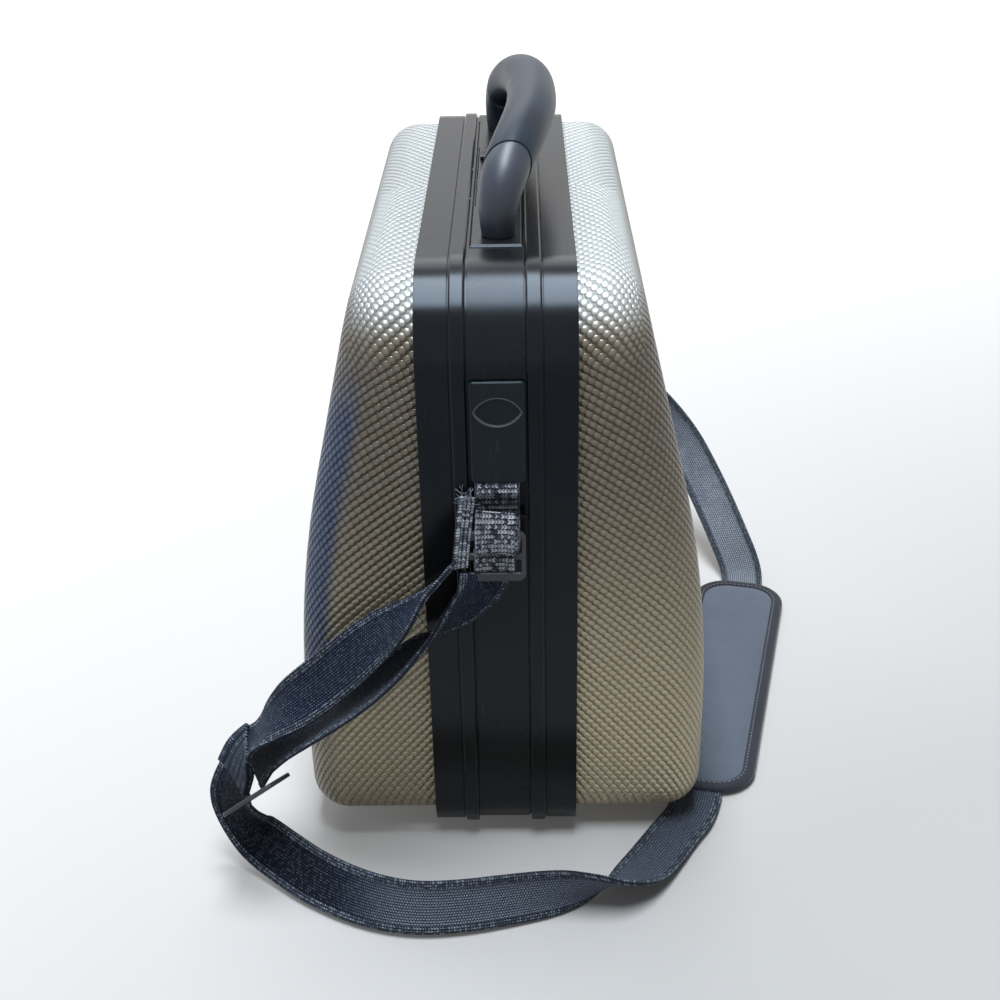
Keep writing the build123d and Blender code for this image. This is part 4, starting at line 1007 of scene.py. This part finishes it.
# Soft pieces inside: a gathered pocket in the lid and a band of elastic loops in the base
insideSizes = {
    "wall": 110.8 * mm, "bendZ": 79.4 * mm, "bow": 1334 * mm,      # the lining's inner face
    "cloth": 1 * mm, "pocketGap": 0.7 * mm, "bandGap": 0.9 * mm,
    "pocketHalf": 94.5 * mm, "pocketLow": 46 * mm, "pocketTop": 149 * mm, "pocketDepth": 15.5 * mm,
    "pocketGather": 1.3 * mm, "gatherPitch": 8.5 * mm, "hemRadius": 1.7 * mm, "across": 260, "levels": 36,
    "sidePower": 7, "footShare": 0.12, "sag": 0.45, "sagFrom": 0.35, "sagPower": 1.3,
    "wander": ((0.9, 19 * mm, 0), (0.5, 7 * mm, 1)),        # uneven folds: by how much, over what way, from where
    "foldLean": 0.9, "foldMiddle": 0.35, "foldPower": 1.5,
    "bandLow": 48 * mm, "bandTop": 72 * mm, "bandReach": 96 * mm, "loopRadius": 19.2 * mm, "loopSteps": 24,
    "loops": (-69 * mm, -23 * mm, 23 * mm, 69 * mm),
    "ripple": 0.35 * mm, "ripplePitch": 2.4 * mm, "rippleSteps": 6, "rippleDrift": (0.5, 0.07),
    # the ripples' strength at shares of the band's height
    "rippleRows": [(0, 0.7), (0.06, 1.0), (0.12, 0.75), (0.3, 1.0), (0.5, 1.1), (0.7, 1.0), (0.88, 0.75), (0.94, 1.0),
                   (1, 0.7)],
}


def liningX(z):
    above = max(z - insideSizes["bendZ"], 0)
    return insideSizes["wall"] - above * above / insideSizes["bow"]


def clothMesh(name, rows, thickness):
    cloth = makeMesh(name, [point for row in rows for point in row], rowFaces(len(rows), len(rows[0]), around=False))
    wall = cloth.modifiers.new("cloth", "SOLIDIFY")
    wall.thickness = thickness
    wall.offset = 0
    return cloth


def makePocket():
    size = insideSizes
    across, levels = size["across"], size["levels"]
    rows = []
    for level in range(levels + 1):
        rise = level / levels
        z = size["pocketLow"] + (size["pocketTop"] - size["pocketLow"]) * rise
        sag = size["sag"] * max(rise - size["sagFrom"], 0) ** size["sagPower"]
        upright = min(rise / size["footShare"], 1) ** 0.5 * (1 - sag)
        # The folds are strongest at the seam and at the hem
        strong = size["foldMiddle"] + (1 - size["foldMiddle"]) * abs(2 * rise - 1) ** size["foldPower"]
        row = []
        for spot in range(across + 1):
            aside = 2 * spot / across - 1
            y = aside * size["pocketHalf"]
            sideways = max(1 - abs(aside) ** size["sidePower"], 0) ** 0.5
            wander = sum(share * math.sin(y / reach + start) for share, reach, start in size["wander"])
            lean = size["foldLean"] * math.sin(3 * rise + y * 30)
            fold = math.sin(2 * math.pi * y / size["gatherPitch"] + wander + lean)
            depth = (size["pocketDepth"] + size["pocketGather"] * fold * strong) * sideways * upright
            row.append(Vector((-(liningX(z) - size["pocketGap"] - depth), y, z)))
        rows.append(row)
    pocket = finishPiece(clothMesh("lidPocket", rows, size["cloth"]), "lid", "lining", "lining")
    hem = finishPiece(makeTube("pocketHem", rows[-1][2:-2], size["hemRadius"]), "lid", "elastic", "elastic")
    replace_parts(pocket, "lid_pocket")


def makeBand():
    size = insideSizes
    wall = size["wall"] - size["bandGap"]
    plan = [(wall, -size["bandReach"])]
    for middle in size["loops"]:
        for step in range(size["loopSteps"] + 1):
            turn = math.pi * step / size["loopSteps"]
            plan.append((wall - size["loopRadius"] * math.sin(turn), middle - size["loopRadius"] * math.cos(turn)))
    plan.append((wall, size["bandReach"]))
    # Even steps along the plan, fine enough for the ripples
    line, step, spare = [], size["ripplePitch"] / size["rippleSteps"], 0
    for here, there in zip(plan, plan[1:]):
        gap = math.dist(here, there)
        while spare < gap:
            line.append(Vector((*between(here, there, spare / gap), 0)))
            spare += step
        spare -= gap
    drift, driftRate = size["rippleDrift"]
    rows = []
    for share, sway in size["rippleRows"]:
        z = size["bandLow"] + (size["bandTop"] - size["bandLow"]) * share
        row = []
        for index, point in enumerate(line):
            along = runAt(line, index)
            out = Vector((along.y, -along.x, 0)).normalized()
            turn = 2 * math.pi * index / size["rippleSteps"] + drift * math.sin(index * driftRate)
            ripple = size["ripple"] * sway * math.sin(turn)
            row.append(point + out * ripple + Vector((0, 0, z)))
        rows.append(row)
    band = finishPiece(clothMesh("bottleBand", rows, size["cloth"]), "base", "elastic", "elastic")
    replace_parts(band, "bottle_band")


makePocket()
makeBand()
print("soft pieces inside made")

# Floor and light
stageLook = {
    "floor": 0.50,          # pale floor's own colour, and its two tones
    "tones": ((1, 0.985, 0.965), (0.985, 0.97, 0.95)),
    "half": 9, "below": 0.6 * mm,
    # light added only for what the camera and reflections see: from this place, near the case and far away
    "liftFrom": (0.45, -0.55, 0), "liftNear": (0.45, 1.5, 0.0, 0.55), "liftFar": (1.6, 4.0, 0.0, 0.6),
    "fill": 0.10,           # strength of the even light from all round
}
lamps = {
    # place, aimed at, size, power, colour
    "backLight": ((-0.7, 2.1, 2.2), (0, 0, 0.15), (2.6, 1.4), 26.0, (1, 1, 1)),
    "topLight": ((-0.3, 0.25, 2.3), (0, 0, 0), (1.6, 1.6), 3.0, (0.95, 0.98, 1)),
    "edgeLight": ((0.0, -0.22, 2.1), (0, -0.15, 0.3), (0.6, 1.5), 60.0, (0.88, 0.94, 1)),
    "leftLight": ((-1.8, -0.5, 0.9), (0, 0, 0.15), (1.2, 1.0), 2.8, (0.4, 0.6, 1)),
}


def seenDirectly(tree):
    # 1 for what the camera, reflections and clear things see
    path = addNode(tree, "ShaderNodeLightPath").outputs
    return most(path["Is Camera Ray"], most(path["Is Glossy Ray"], path["Is Transmission Ray"]))


def makeFloor(look):
    half, low = look["half"], -look["below"]
    corners = [(-half, -half, low), (half, -half, low), (half, half, low), (-half, half, low)]
    floor = makeMesh("floor", corners, [(0, 1, 2, 3)])
    material, tree, surface = startMaterial("floorPaper", {
        "Roughness": 0.9, "Specular IOR Level": 0.1, "Emission Color": (1, 1, 1)})
    place = objectPlace(tree)
    tones = [[look["floor"] * share for share in tone] for tone in look["tones"]]
    away = vectorCalc("DISTANCE", place, look["liftFrom"])
    lift = add(ramp(away, *look["liftNear"], "LINEAR"), ramp(away, *look["liftFar"], "LINEAR"))
    wire(surface, {"Base Color": mixColour(noiseTexture(place, 3.0), *tones),
                   "Emission Strength": times(seenDirectly(tree), lift)})
    floor.data.materials.append(material)


def makeWorld(fill):
    world = bpy.data.worlds.new("studio")
    bpy.context.scene.world = world
    world.use_nodes = True
    strength = ramp(seenDirectly(world.node_tree), 0.0, 1.0, fill, 1.0, "LINEAR")
    wire(world.node_tree.nodes["Background"].inputs, {"Color": (1, 1, 1), "Strength": strength})


def makeLamp(name, place, target, size, power, colour):
    data = bpy.data.lights.new(name, "AREA")
    data.shape = "RECTANGLE"
    data.size, data.size_y = size
    data.energy = power
    data.color = colour
    lamp = addObject(name, data)
    lamp.location = place
    lamp.rotation_euler = (Vector(target) - Vector(place)).to_track_quat("-Z", "Y").to_euler()


makeFloor(stageLook)
makeWorld(stageLook["fill"])
for name, row in lamps.items():
    makeLamp(name, *row)
bpy.context.scene.view_settings.view_transform = "Standard"
print("stage and lamps made")
